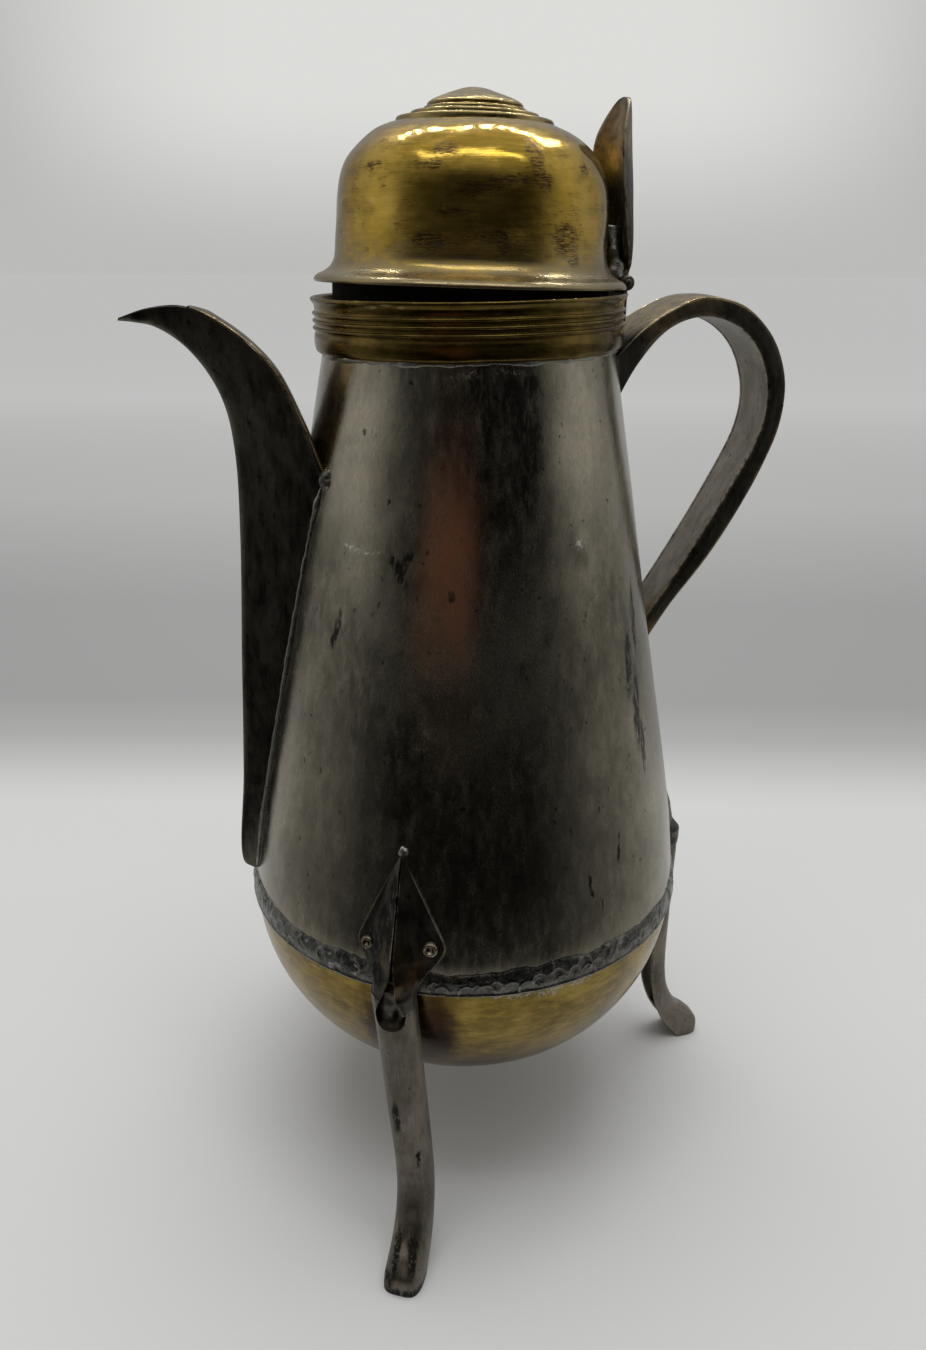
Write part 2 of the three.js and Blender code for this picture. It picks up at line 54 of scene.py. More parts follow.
def make_camera():
    forward = Vector((
        math.sin(CAMERA_HEADING) * math.cos(CAMERA_PITCH),
        math.cos(CAMERA_HEADING) * math.cos(CAMERA_PITCH),
        math.sin(CAMERA_PITCH),
    ))
    right = Vector((math.cos(CAMERA_HEADING), -math.sin(CAMERA_HEADING), 0))
    up = right.cross(forward)
    c, s = math.cos(CAMERA_ROLL), math.sin(CAMERA_ROLL)
    right, up = c * right + s * up, c * up - s * right
    data = bpy.data.cameras.new("photo_camera")
    data.lens = CAMERA_LENS
    data.sensor_width = 36.0
    data.sensor_fit = "AUTO"
    data.clip_start = 0.01
    data.clip_end = 60
    camera = bpy.data.objects.new("photo_camera", data)
    bpy.context.scene.collection.objects.link(camera)
    basis = Matrix((right, up, -forward)).transposed().to_4x4()
    camera.matrix_world = Matrix.Translation(CAMERA_PLACE) @ basis
    bpy.context.scene.camera = camera


make_camera()


# ---------------------------------------------------------------- dimensions of the pot, mm
SEAM_RADIUS, SEAM_HEIGHT = 62.3, 81.0
BODY_LINE = [(62.3, 81), (61.9, 90), (59.9, 105), (56.1, 126), (49.2, 164), (42.3, 201.8),
             (37.4, 228), (36.6, 235)]
SHEET = 1.0
BOWL_BOTTOM, BOWL_FULLNESS, BOWL_SHEET = 27.9, 0.82, 1.1
HEAD_TILT, HEAD_PIVOT = math.radians(-1.2), 231.8
HINGE_X, HINGE_Z = 39.6, 246.4
HINGE_BARREL, HINGE_HALF, HINGE_KNUCKLE = 1.8, 7.4, 2.5
LID_AJAR = math.radians(2.35)
LID_SHIFT = 0.4
RIM_RADIUS = 39.2
LEG_ANGLES = {"front": -120, "back": 0, "far": 120}
LEG_TOP = 83.2
# How far the front leg leans sideways, by height; the other two stand straight.
FRONT_LEAN = [(0, 4.9), (9.6, 5.0), (24, 4.3), (45.5, 2.1), (63.5, 0.4), (83.2, -1.3)]

HEAD = (Matrix.Translation((0, 0, HEAD_PIVOT)) @ Matrix.Rotation(HEAD_TILT, 4, "Y")
        @ Matrix.Translation((0, 0, -HEAD_PIVOT)))
LID_PLACE = (HEAD @ Matrix.Translation((HINGE_X, 0, HINGE_Z)) @ Matrix.Rotation(LID_AJAR, 4, "Y")
             @ Matrix.Translation((-HINGE_X, 0, -HINGE_Z)))
DOME_PLACE = LID_PLACE @ Matrix.Translation((LID_SHIFT, 0, 0))


# ---------------------------------------------------------------- curves
def spline(points, count):
    """Catmull-Rom points through a list of points, spaced evenly in the list's own steps."""
    p = np.array(points, float)
    p = np.vstack([2 * p[0] - p[1], p, 2 * p[-1] - p[-2]])
    out = []
    for t in np.linspace(0, len(points) - 1, count):
        i = min(int(t), len(points) - 2)
        u = t - i
        a, b, c, d = p[i], p[i + 1], p[i + 2], p[i + 3]
        out.append(0.5 * (2 * b + (c - a) * u + (2 * a - 5 * b + 4 * c - d) * u * u
                          + (3 * b - a - 3 * c + d) * u ** 3))
    return np.array(out)


def evenly(values, count):
    """A smooth run of count numbers through a short list of them."""
    return spline([(v, 0.0) for v in values], count)[:, 0]


class Curve:
    """The centripetal Catmull-Rom curve that the CAD part uses for its side curves."""

    def __init__(self, points):
        self.p = np.array(points, float)

    def at(self, t):
        p, last = self.p, len(self.p) - 1
        s = min(max(t, 0.0), 1.0) * last
        i = min(int(s), last - 1)
        u = s - i
        p1, p2 = p[i], p[i + 1]
        p0 = p[i - 1] if i > 0 else 2 * p[0] - p[1]
        p3 = p[i + 2] if i + 2 <= last else 2 * p[last] - p[last - 1]
        d = [max(np.linalg.norm(b - a) ** 0.5, 1e-4) for a, b in ((p0, p1), (p1, p2), (p2, p3))]
        t1 = ((p1 - p0) / d[0] - (p2 - p0) / (d[0] + d[1]) + (p2 - p1) / d[1]) * d[1]
        t2 = ((p2 - p1) / d[1] - (p3 - p1) / (d[1] + d[2]) + (p3 - p2) / d[2]) * d[1]
        a = 2 * p1 - 2 * p2 + t1 + t2
        b = -3 * p1 + 3 * p2 - 2 * t1 - t2
        return a * u ** 3 + b * u ** 2 + t1 * u + p1


def across(near, far, t):
    """A point on one curve, the direction to the same place on another, and how far that is."""
    a, b = near.at(t), far.at(t)
    length = float(np.linalg.norm(b - a))
    return a, (b - a) / max(length, 1e-6), length


def polar(r, a):
    return r * math.cos(a), r * math.sin(a)


BODY_OUTER = spline(BODY_LINE, 121)


def body_radius(z):
    """The radius of the body's outside at a height."""
    return float(np.interp(z, BODY_OUTER[:, 1], BODY_OUTER[:, 0]))


def wobble(x, y, z, size, seed=0.0):
    """A smooth random value from about -1 to 1 that changes over roughly size millimetres."""
    return noise.noise(Vector((x / size + seed, y / size - seed, z / size + 2 * seed)))


# ---------------------------------------------------------------- mesh making
def placed(points, place):
    """The points as an array, moved by a matrix where there is one."""
    v = np.array(points, float)
    if place is None:
        return v
    m = np.array(place)
    return v @ m[:3, :3].T + m[:3, 3]


def new_object(name, verts, faces, place, weld):
    """A mesh from points in millimetres, with its faces turned outwards."""
    data = bpy.data.meshes.new(name)
    points = (placed(verts, place) * MM).tolist()
    data.from_pydata(points, [], [tuple(int(i) for i in f) for f in faces])
    b = bmesh.new()
    b.from_mesh(data)
    if weld:
        bmesh.ops.remove_doubles(b, verts=b.verts, dist=WELD * MM)
    bmesh.ops.recalc_face_normals(b, faces=b.faces)
    b.to_mesh(data)
    b.free()
    obj = bpy.data.objects.new(name, data)
    bpy.context.scene.collection.objects.link(obj)
    return obj


def shade(data, sharp):
    """Smooth shading, with a crisp line where faces meet at more than sharp degrees."""
    data.shade_smooth()
    data.set_sharp_from_angle(angle=math.radians(sharp))


def make(name, verts, faces, body, slot, stands_for=(), place=None, sharp=50):
    """One piece of the pot, riding on a CAD body and standing for CAD nodes."""
    obj = new_object(name, verts, faces, place, True)
    shade(obj.data, sharp)
    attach(obj, body)
    if stands_for:
        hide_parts(*stands_for)
    return obj


def subtract(obj, verts, faces, place=None):
    """Cuts a solid out of a piece, with the result applied to the mesh."""
    cutter = new_object("cutter", verts, faces, place, False)
    cut = obj.modifiers.new("cut", "BOOLEAN")
    cut.operation, cut.solver, cut.object = "DIFFERENCE", "EXACT", cutter
    dg = bpy.context.evaluated_depsgraph_get()
    result = bpy.data.meshes.new_from_object(obj.evaluated_get(dg), depsgraph=dg)
    obj.modifiers.clear()
    obj.data = result
    bpy.data.objects.remove(cutter)
    shade(result, 50)


def tube_faces(rows, cols, ring=False):
    """Faces of a grid whose rows are closed loops: a tube with capped ends, or a closed ring."""
    faces = []
    for r in range(rows if ring else rows - 1):
        n = (r + 1) % rows
        for c in range(cols):
            d = (c + 1) % cols
            faces.append((r * cols + c, r * cols + d, n * cols + d, n * cols + c))
    if not ring:
        faces.append(tuple(range(cols - 1, -1, -1)))
        faces.append(tuple(range((rows - 1) * cols, rows * cols)))
    return faces


def plate(front, back, rows, cols):
    """A thin plate between two grids of points, each with a point more than rows and cols."""
    n, total = cols + 1, len(front)
    faces = []

    def side(a, b):
        faces.append((a, b, b + total, a + total))

    for i in range(rows):
        for j in range(cols):
            q = (i * n + j, i * n + j + 1, (i + 1) * n + j + 1, (i + 1) * n + j)
            faces.extend([q, tuple(k + total for k in reversed(q))])
        for j in (0, cols):
            side(i * n + j, (i + 1) * n + j)
    for i in (0, rows):
        for j in range(cols):
            side(i * n + j, i * n + j + 1)
    return front + back, faces


def turned(profile, around, change=None):
    """Turns a closed outline of (radius, height) about the centre line.
    change(radius, angle, height) gives the new radius and height of a point."""
    verts = []
    for k in range(around):
        a = 2 * math.pi * k / around
        for r, z in profile:
            if change and r > 0.5:
                r, z = change(r, a, z)
            verts.append((*polar(r, a), z))
    return verts, tube_faces(around, len(profile), ring=True)


def bead(points, radii, sides=8, flat=1.0):
    """A round bead along a line of points, thinning out at both ends."""
    p = np.array(points, float)
    tangent = np.gradient(p, axis=0)
    verts = []
    count = len(p)
    for i in range(count):
        t = tangent[i] / max(np.linalg.norm(tangent[i]), 1e-9)
        side = np.cross(t, (0, 0, 1.0))
        if np.linalg.norm(side) < 0.05:
            side = np.cross(t, (0, 1.0, 0))
        side /= np.linalg.norm(side)
        up = np.cross(side, t)
        end = max(math.sin(math.pi * (i / (count - 1))) ** 0.35, 0.05)
        for k in range(sides):
            a = 2 * math.pi * k / sides
            q = p[i] + (side * math.cos(a) * radii[i] + up * math.sin(a) * radii[i] * flat) * end
            verts.append(q)
    return verts, tube_faces(count, sides)


def round_bar(x, z, radius, y0, y1, sides=40, edge=0.25):
    """A bar along Y with softened ends."""
    profile = [(0, y0), (radius - edge, y0), (radius, y0 + edge), (radius, y1 - edge),
               (radius - edge, y1), (0, y1)]
    verts = []
    for k in range(sides):
        a = 2 * math.pi * k / sides
        verts += [(x + r * math.cos(a), y, z + r * math.sin(a)) for r, y in profile]
    return verts, tube_faces(sides, len(profile), ring=True)


def join(*parts):
    """Several (verts, faces) as one."""
    verts, faces = [], []
    for v, f in parts:
        start = len(verts)
        verts += [tuple(p) for p in v]
        faces += [tuple(i + start for i in g) for g in f]
    return verts, faces


def outside_body(v, depth=0.35):
    """Pushes a point that lies deeper than depth under the body's skin out to that depth."""
    r = math.hypot(v[0], v[1])
    skin = body_radius(v[2]) - depth
    if r >= skin or not 70 <= v[2] <= 235.5:
        return tuple(v)
    return (v[0] * skin / r, v[1] * skin / r, v[2])


# ---------------------------------------------------------------- body, bowl and seam
# Small bumps pressed into the sheet: angle, height, width and how far they stand out.
BUMPS = [(-69.8, 190.0, 3.4, 0.42), (-83.0, 172.7, 7.0, -0.30), (-89.0, 166.0, 6.0, -0.25),
         (-63.6, 135.6, 14.0, -0.35), (-131.5, 200.4, 12.0, -0.2), (-142.0, 222.0, 10.0, -0.25),
         (-67.0, 214.0, 9.0, -0.3), (-110.0, 150.0, 16.0, -0.3), (-121.0, 120.0, 7.0, 0.3)]


def body_change(r, a, z):
    x, y = polar(r, a)
    r += 0.28 * wobble(x, y, z * 0.5, 26, 3.1) + 0.07 * wobble(x, y, z * 0.6, 7, 8.4)
    for angle, height, width, out in BUMPS:
        da = (math.degrees(a) - angle + 180) % 360 - 180
        d2 = (math.radians(da) * r) ** 2 + (z - height) ** 2
        r += out * math.exp(-d2 / (0.36 * width * width))
    return r, z


outer = [tuple(p) for p in spline(BODY_LINE, 96)]
inner = [(r - SHEET, z) for r, z in reversed(outer)]
pot_body = make("body_cone", *turned(outer + inner, 256, body_change), POT, "tinned_sheet",
                ["pot_body"], sharp=60)


def strainer_holes():
    """Ten holes behind the spout, in rows of two and three."""
    radius, apart, top, drop, sides = 1.7, 6.4, 185, 11, 20
    parts = []
    for row in range(4):
        count = 2 + row % 2
        for k in range(count):
            y, z = (k - (count - 1) / 2) * apart, top - row * drop
            angles = [2 * math.pi * s / sides for s in range(sides)]
            ring = [(x, y + radius * math.cos(a), z + radius * math.sin(a))
                    for x in (-80, -30) for a in angles]
            parts.append((ring, tube_faces(2, sides)))
    return join(*parts)


subtract(pot_body, *strainer_holes())


def bowl_line(inset, steps=64):
    """From the seam down to the middle of the bottom, inset from the outside."""
    drop = SEAM_HEIGHT - BOWL_BOTTOM - inset
    out = []
    for i in range(steps + 1):
        a = (i / steps) * math.pi / 2
        r = 0.0 if i == steps else (SEAM_RADIUS - inset) * math.cos(a) ** BOWL_FULLNESS
        out.append((r, SEAM_HEIGHT - 0.3 - drop * math.sin(a)))
    return out


def bowl_change(r, a, z):
    x, y = polar(r, a)
    k = min(1.0, r / 20)
    return r + k * (0.16 * wobble(x, y, z, 18, 5.0) + 0.05 * wobble(x, y, z, 6, 1.0)), z


bowl = make("bowl", *turned(bowl_line(0) + bowl_line(BOWL_SHEET)[::-1], 192, bowl_change), POT,
            "brass_bright", ["pot_bowl"], sharp=60)

# Solder band over the seam: a lumpy strip with crescent marks left by the iron.
BAND_LOW, BAND_HIGH, BAND_PROUD = 79.6, 87.0, 1.5
rng = random.Random(11)
STAMPS = []
for step in range(150):
    STAMPS.append((step * 2.4 + rng.uniform(-1.0, 1.0), rng.uniform(80.8, 86.6),
                   rng.uniform(1.2, 2.4), rng.uniform(0.16, 0.38), rng.uniform(-1, 1)))


def stamped(a, z):
    """Height of the crescent ridges at one place of the band."""
    total = 0.0
    degrees = math.degrees(a) % 360
    for angle, height, radius, out, lean in STAMPS:
        da = (degrees - angle + 180) % 360 - 180
        if abs(da) > 5:
            continue
        dx, dz = math.radians(da) * SEAM_RADIUS, z - height
        d = math.hypot(dx, dz)
        ridge = math.exp(-((d - radius) / 0.26) ** 2)
        side = 0.5 + 0.5 * math.tanh(2.0 * (dx * lean + dz * 0.6) / radius)
        total += out * (ridge * side - 0.7 * math.exp(-(d / (0.8 * radius)) ** 2))
    return total


def seam_band():
    around, steps = 1300, 26
    verts = []
    for k in range(around):
        a = 2 * math.pi * k / around
        c, s = polar(1, a)
        x, y = polar(SEAM_RADIUS, a)
        top = BAND_HIGH + 1.1 * wobble(x, y, 0, 7, 2.2) + 0.6 * wobble(x, y, 0, 2.6, 4.0)
        low = BAND_LOW + 0.18 * wobble(x, y, 0, 11, 6.2)
        for j in range(steps + 1):
            u = j / steps
            z = low + (top - low) * u
            skin = body_radius(max(z, 81.0)) if z > 81 else SEAM_RADIUS - 0.05 * (81 - z) ** 2
            lip = math.exp(-((u - 0.07) / 0.05) ** 2) * 0.4
            swell = BAND_PROUD * 0.62 * math.sin(math.pi * min(1, 0.12 + 0.92 * u)) ** 0.55
            edge = min(1.0, 6 * (1 - u), 9 * u + 0.35)
            out = skin + swell + lip + edge * stamped(a, z) * 0.8
            out += 0.12 * edge * wobble(x, y, z, 4.0, 9.0)
            verts.append((out * c, out * s, z))
        deep = body_radius(top) - 0.5
        verts.append((deep * c, deep * s, top))
        verts.append(((SEAM_RADIUS - 0.5) * c, (SEAM_RADIUS - 0.5) * s, low + 0.1))
    return verts, tube_faces(around, steps + 3, ring=True)


band = make("seam_solder", *seam_band(), POT, "solder", ["seam_band"], sharp=70)


# ---------------------------------------------------------------- collar
def collar_profile():
    points = [(37.9, 231.8), (38.25, 231.9), (38.6, 232.6), (38.75, 234.0), (38.7, 235.4),
              (38.45, 236.3)]
    for z in (237.3, 239.0, 240.7):
        points += [(38.42, z - 0.62), (38.48, z - 0.45), (38.85, z - 0.30), (39.0, z),
                   (38.85, z + 0.30), (38.48, z + 0.45), (38.42, z + 0.62)]
    points += [(38.4, 241.7), (38.5, 242.6), (38.9, 243.3), (39.25, 243.7), (39.25, 244.2),
               (38.95, 244.5), (38.4, 244.5), (37.9, 244.2), (37.5, 243.6), (37.4, 242.0),
               (37.4, 232.2), (37.6, 231.8)]
    return points


def refined(points, steps):
    """The same closed outline with more points, gently rounded."""
    p = [np.array(q, float) for q in points]
    out = []
    n = len(p)
    for i in range(n):
        a, b, c, d = p[i - 1], p[i], p[(i + 1) % n], p[(i + 2) % n]
        for k in range(steps):
            u = k / steps
            q = 0.5 * (2 * b + (c - a) * u + (2 * a - 5 * b + 4 * c - d) * u * u
                       + (3 * b - a - 3 * c + d) * u ** 3)
            out.append((float(q[0]), float(q[1])))
    return out


def collar_change(r, a, z):
    x, y = polar(r, a)
    low = max(0.0, (234.5 - z) / 3)
    z += 0.22 * low * wobble(x, y, 0, 8, 1.4)
    if r > 38:
        r += 0.07 * wobble(x, y, z, 14, 7.7)
        z += 0.10 * wobble(x, y, 0, 18, 2.7)
    return r, z


collar = make("collar_ring", *turned(refined(collar_profile(), 3), 256, collar_change), POT,
              "brass_dark", ["collar"], HEAD, sharp=70)


def collar_solder():
    """The uneven line of solder under the collar."""
    around, sides = 300, 8
    verts = []
    for k in range(around):
        a = 2 * math.pi * k / around
        x, y = polar(37, a)
        thick = 0.55 + 0.45 * wobble(x, y, 0, 5, 3.3) + 0.25 * wobble(x, y, 0, 1.8, 5.1)
        thick = max(0.15, thick)
        z0 = 231.5 - 0.35 * thick
        r0 = body_radius(z0) + 0.1
        for j in range(sides):
            b = 2 * math.pi * j / sides
            r = r0 + 0.75 * thick * math.cos(b)
            verts.append((*polar(r, a), z0 + 1.2 * thick * math.sin(b)))
    return verts, tube_faces(around, sides, ring=True)


neck_solder = make("neck_solder", *collar_solder(), POT, "solder", (), HEAD, sharp=80)


# ---------------------------------------------------------------- spout
KEEL = Curve([(-63.2, 88.6), (-65.6, 91.0), (-63.9, 120), (-62.1, 153), (-60.2, 187),
              (-60.0, 207), (-61.6, 218.5), (-65.0, 226.4), (-70.3, 233.2), (-76.4, 237.3),
              (-80.8, 238.3), (-84.5, 238.7)])
SPOUT_EDGE = Curve([(-60.5, 88.6), (-60.0, 93.5), (-55.5, 122), (-47.5, 156), (-38.0, 192),
                    (-42.2, 208.6), (-45.3, 217.3), (-50.4, 227.8), (-58.6, 236.0),
                    (-69.0, 241.6), (-77.4, 241.4), (-84.3, 239.3)])
SPOUT_HALF = [0.5, 1.2, 3.9, 7.9, 12.9, 12.4, 11.2, 9.4, 7.1, 4.3, 1.9, 0.35]
STRIP_FROM, STRIP_TO = 0.4, 0.815
SPOUT_PLACES = np.linspace(0, 1, 401)
SPOUT_WIDTHS = np.interp(SPOUT_PLACES * 220, np.arange(221), evenly(SPOUT_HALF, 221))
LEAST_WIDTH = 0.3


def width_at(t):
    """Half the width of the spout's open side."""
    return float(np.interp(t, SPOUT_PLACES, np.maximum(LEAST_WIDTH, SPOUT_WIDTHS)))


def spout_frame(t):
    return across(KEEL, SPOUT_EDGE, t)


def spout_wall(t, s):
    """Depth and half width on the outside of the spout wall: s is 0 at the keel, 1 at the edge."""
    w = width_at(t)
    fold = min(1.0, 0.35 * w)
    depth = spout_frame(t)[2] * s
    y = w * s + 0.05 * w * math.sin(math.pi * s)
    y += fold * (1 - math.exp(-depth / 0.5)) * math.exp(-depth / 3.2) * 0.8
    return depth, max(0.0, y)


def spout_shell():
    """The folded V of sheet: each section runs round the outside and back along the inside."""
    steps, sides = 170, 22
    verts = []
    for i in range(steps + 1):
        t = i / steps
        a, d, length = spout_frame(t)
        wall = min(0.9, 0.4 * width_at(t))
        ring = []
        for side in (1, -1):
            us = [1 - j / sides for j in range(sides + 1)]
            if side == -1:
                us = us[::-1][1:]
            ring += [(spout_wall(t, s ** 1.4), side) for s in us]
        outer_ring = [(depth, side * y) for (depth, y), side in ring]
        inner_ring = []
        for (depth, y), side in reversed(ring):
            share = depth / max(length, 1e-6)
            inner_depth = depth + min(1.3, 0.45 * length) * (1 - share) ** 2
            inner_ring.append((min(inner_depth, length), side * max(0.0, y - wall)))
        for depth, y in outer_ring + inner_ring:
            p = a + d * depth
            q = (p[0], y, p[1])
            bend = 0.18 * wobble(q[0], y * 0.6, q[2] * 0.6, 14, 4.4)
            q = (q[0] + bend * 0.4, q[1] + (bend if y > 0 else -bend) * min(1, abs(y) / 3), q[2])
            verts.append(outside_body(q))
    return verts, tube_faces(steps + 1, len(outer_ring) + len(inner_ring))


spout = make("spout_sheet", *spout_shell(), POT, "dark_tin", ["spout_shell"], sharp=45)


def spout_strip():
    """The crowned strip that closes the top of the spout."""
    steps, sides = 110, 14
    verts = []
    for i in range(steps + 1):
        t = STRIP_FROM + (STRIP_TO - STRIP_FROM) * i / steps
        a, d, length = spout_frame(t)
        w = width_at(t) + 0.35
        low, high = [], []
        end = min(1.0, (1 - i / steps) * 14)
        thick = 0.8 * (0.35 + 0.65 * end)
        for j in range(sides + 1):
            y = w * (1 - 2 * j / sides)
            e = abs(y) / w
            crown = length + 0.12 + 0.6 * (1 - e * e)
            round_off = 0.28 * max(0.0, (e - 0.93) / 0.07) ** 2
            low.append((crown + round_off, y))
            high.append((crown + thick - round_off, y))
        for depth, y in low + high[::-1]:
            p = a + d * depth
            q = (p[0], y, p[1])
            lump = 0.10 * wobble(q[0], q[1], q[2], 5, 6.6)
            verts.append(outside_body((q[0], q[1], q[2] + lump)))
    return verts, tube_faces(steps + 1, 2 * (sides + 1))


def strip_edges():
    """The worn, bright lips along both sides of the strip."""
    parts = []
    for side in (1, -1):
        line = []
        for t in np.linspace(STRIP_FROM + 0.012, STRIP_TO - 0.01, 120):
            a, d, length = spout_frame(t)
            p = a + d * (length + 0.42)
            line.append(outside_body((p[0], side * (width_at(t) + 0.28), p[1])))
        radii = [0.30 + 0.14 * wobble(*p, 9, 1.1) for p in line]
        parts.append(bead(line, radii))
    return join(*parts)


strip_lips = make("spout_cover_lips", *strip_edges(), POT, "brass_dark", (), sharp=80)
strip = make("spout_cover", *spout_strip(), POT, "brass_dark", ["spout_strip"])


def spout_joint(side):
    """Where the spout's wall comes out of the body, from bottom to top."""
    line = []
    for t in np.linspace(0.02, 0.41, 110):
        a, d, _ = spout_frame(t)
        for s in np.linspace(0.0, 1.0, 80):
            depth, y = spout_wall(t, s)
            p = a + d * depth
            if math.hypot(p[0], y) <= body_radius(p[1]) + 0.15:
                break
        line.append((p[0], side * y, p[1]))
    return line


def spout_fillets():
    """The solder along both joints, thicker at the corner under the strip."""
    parts = []
    for side in (1, -1):
        line = spout_joint(side)
        radii = [0.85 + 0.25 * wobble(*p, 6, 2.9) + 0.12 * wobble(*p, 2, 1.9) for p in line]
        radii = [r + 1.2 * math.exp(-((p[2] - 196.5) / 2.6) ** 2) for r, p in zip(radii, line)]
        parts.append(bead(line, radii, 12, 0.9))
    return join(*parts)


spout_bead = make("spout_joint_solder", *spout_fillets(), POT, "solder", ["spout_solder"], sharp=80)


# ---------------------------------------------------------------- handle
HANDLE_OUTER = Curve([(36.0, 229.6), (43.0, 235.9), (50.8, 240.7), (60.5, 244.0), (72.7, 241.4),
                      (82.0, 233.7), (87.1, 222.3), (86.8, 210.2), (80.9, 194.4), (70.2, 175.6),
                      (58.7, 160.1), (48.2, 143.1)])
HANDLE_INNER = Curve([(35.0, 214.5), (42.9, 228.2), (51.3, 236.5), (60.6, 239.1), (70.5, 236.8),
                      (78.0, 230.3), (82.1, 220.5), (81.7, 210.0), (75.8, 196.8), (65.2, 178.4),
                      (55.0, 162.2), (44.0, 147.0)])
HANDLE_TOP_HALF, HANDLE_END_HALF = 9.8, 6.4


def handle_frame(t):
    """As across, with the strap's half width added."""
    half = HANDLE_TOP_HALF + (HANDLE_END_HALF - HANDLE_TOP_HALF) * t
    return *across(HANDLE_OUTER, HANDLE_INNER, t), half


def handle_point(a, d, depth, y):
    p = a + d * depth
    q = (p[0], y, p[1])
    lump = 0.14 * wobble(q[0], q[1] * 0.7, q[2], 11, 12.0)
    return outside_body((q[0] - d[0] * lump, q[1], q[2] - d[1] * lump))


def channel_outline(length, h, sheet):
    """The strap's section: a shallow channel with a rounded fold at each side."""
    fold = 0.9
    half = [(length, h - 0.25), (length - 0.25, h), (length * 0.6, h + 0.05), (fold * 1.4, h)]
    for k in range(1, 6):
        a = math.pi / 2 * k / 6
        half.append((fold - fold * math.sin(a), h - fold + fold * math.cos(a)))
    half += [(-0.18, h * 0.72), (-0.36, h * 0.4), (-0.46, h * 0.15)]
    outside = half + [(x, -y) for x, y in reversed(half)]
    inner_half = [(length - 0.05, h - sheet + 0.1), (length * 0.55, h - sheet),
                  (sheet + 0.4, h - sheet - 0.1), (sheet, h - sheet - 0.5),
                  (sheet - 0.3, h * 0.4), (sheet - 0.45, h * 0.12)]
    inside = [(x, -y) for x, y in inner_half] + [(x, y) for x, y in reversed(inner_half)]
    return outside + inside


def handle_strap():
    steps = 200
    verts = []
    for i in range(steps + 1):
        a, d, length, h = handle_frame(i / steps)
        outline = channel_outline(length, h, SHEET)
        verts += [handle_point(a, d, depth, y) for depth, y in outline]
    return verts, tube_faces(steps + 1, len(outline))


strap = make("handle_channel", *handle_strap(), POT, "dark_tin", ["handle_strap"], sharp=55)


def handle_edges():
    """The folds of the strap, worn bright by handling and given a painted highlight."""
    parts = []
    for side in (1, -1):
        line = []
        for t in np.linspace(0.03, 0.97, 190):
            a, d, length, h = handle_frame(t)
            line.append(handle_point(a, d, 0.30, side * (h - 0.26)))
        radii = [max(0.06, 0.27 + 0.28 * wobble(*p, 12, 4.1)) for p in line]
        parts.append(bead(line, radii))
    return join(*parts)


strap_edges = make("handle_worn_folds_painted_highlight", *handle_edges(), POT, "dark_tin", (), sharp=80)


def handle_liner():
    steps, sides = 170, 8
    verts = []
    for i in range(steps + 1):
        t = 0.06 + (0.985 - 0.06) * i / steps
        a, d, length, h = handle_frame(t)
        h -= 0.5
        near, far = [], []
        for j in range(sides + 1):
            y = h * (1 - 2 * j / sides)
            sag = 0.35 * (1 - (y / h) ** 2) + 0.3 * max(0.0, abs(y) / h - 0.9) / 0.1
            near.append((length + 0.12 - sag, y))
            far.append((length - 1.4 - sag, y))
        verts += [handle_point(a, d, depth, y) for depth, y in near + far[::-1]]
    return verts, tube_faces(steps + 1, 2 * (sides + 1))


liner = make("handle_inner_strip", *handle_liner(), POT, "tinned_sheet", ["handle_liner"])


def solder_mound(angle, height, wide, tall, out, seed):
    """A soft mound of solder on the body, wide by tall millimetres, out millimetres thick."""
    rows, cols, sunk = 26, 40, 0.35
    verts, faces = [], []
    mid = math.radians(angle)
    for i in range(rows):
        u = i / (rows - 1)
        for k in range(cols):
            b = 2 * math.pi * k / cols
            edge = 1 + 0.16 * wobble(*polar(1, b), 0, 0.6, seed)
            dy = wide * u * edge * math.cos(b)
            z = height + tall * u * edge * math.sin(b)
            r = body_radius(z)
            thick = out * (1 - u * u) ** 1.2 + 0.18 * wobble(dy, z, 0, 3, seed) * (1 - u) - sunk * u
            verts.append((*polar(r + thick, mid + dy / r), z))
            if i:
                n, row = (k + 1) % cols, (i - 1) * cols
                faces.append((row + k, row + n, row + cols + n, row + cols + k))
    back = len(verts)
    verts.append((*polar(body_radius(height) - sunk - 0.1, mid), height))
    for k in range(cols):
        faces.append(((rows - 1) * cols + k, (rows - 1) * cols + (k + 1) % cols, back))
    return verts, faces


def mound_piece(name, stands_for, *mounds):
    verts, faces = join(*[solder_mound(*mound) for mound in mounds])
    return make(name, verts, faces, POT, "solder", stands_for, sharp=80)


# Each mound: angle, height, half width, half height, thickness, seed.
spout_blobs = mound_piece("spout_corner_solder", (), (-161.0, 202.6, 2.8, 3.4, 1.7, 6.0),
                          (161.0, 202.6, 2.8, 3.4, 1.7, 5.0))
upper_solder = mound_piece("handle_root_solder", ["handle_solder_upper"],
                           (0, 221.5, 11.2, 9.0, 1.9, 3.0))
lower_solder = mound_piece("handle_foot_solder", ["handle_solder_lower"],
                           (0, 151.5, 8.6, 9.0, 1.3, 7.0))
spout_top_solder = mound_piece("spout_root_solder", (), (-182, 197.5, 15.5, 2.2, 0.7, 4.0))


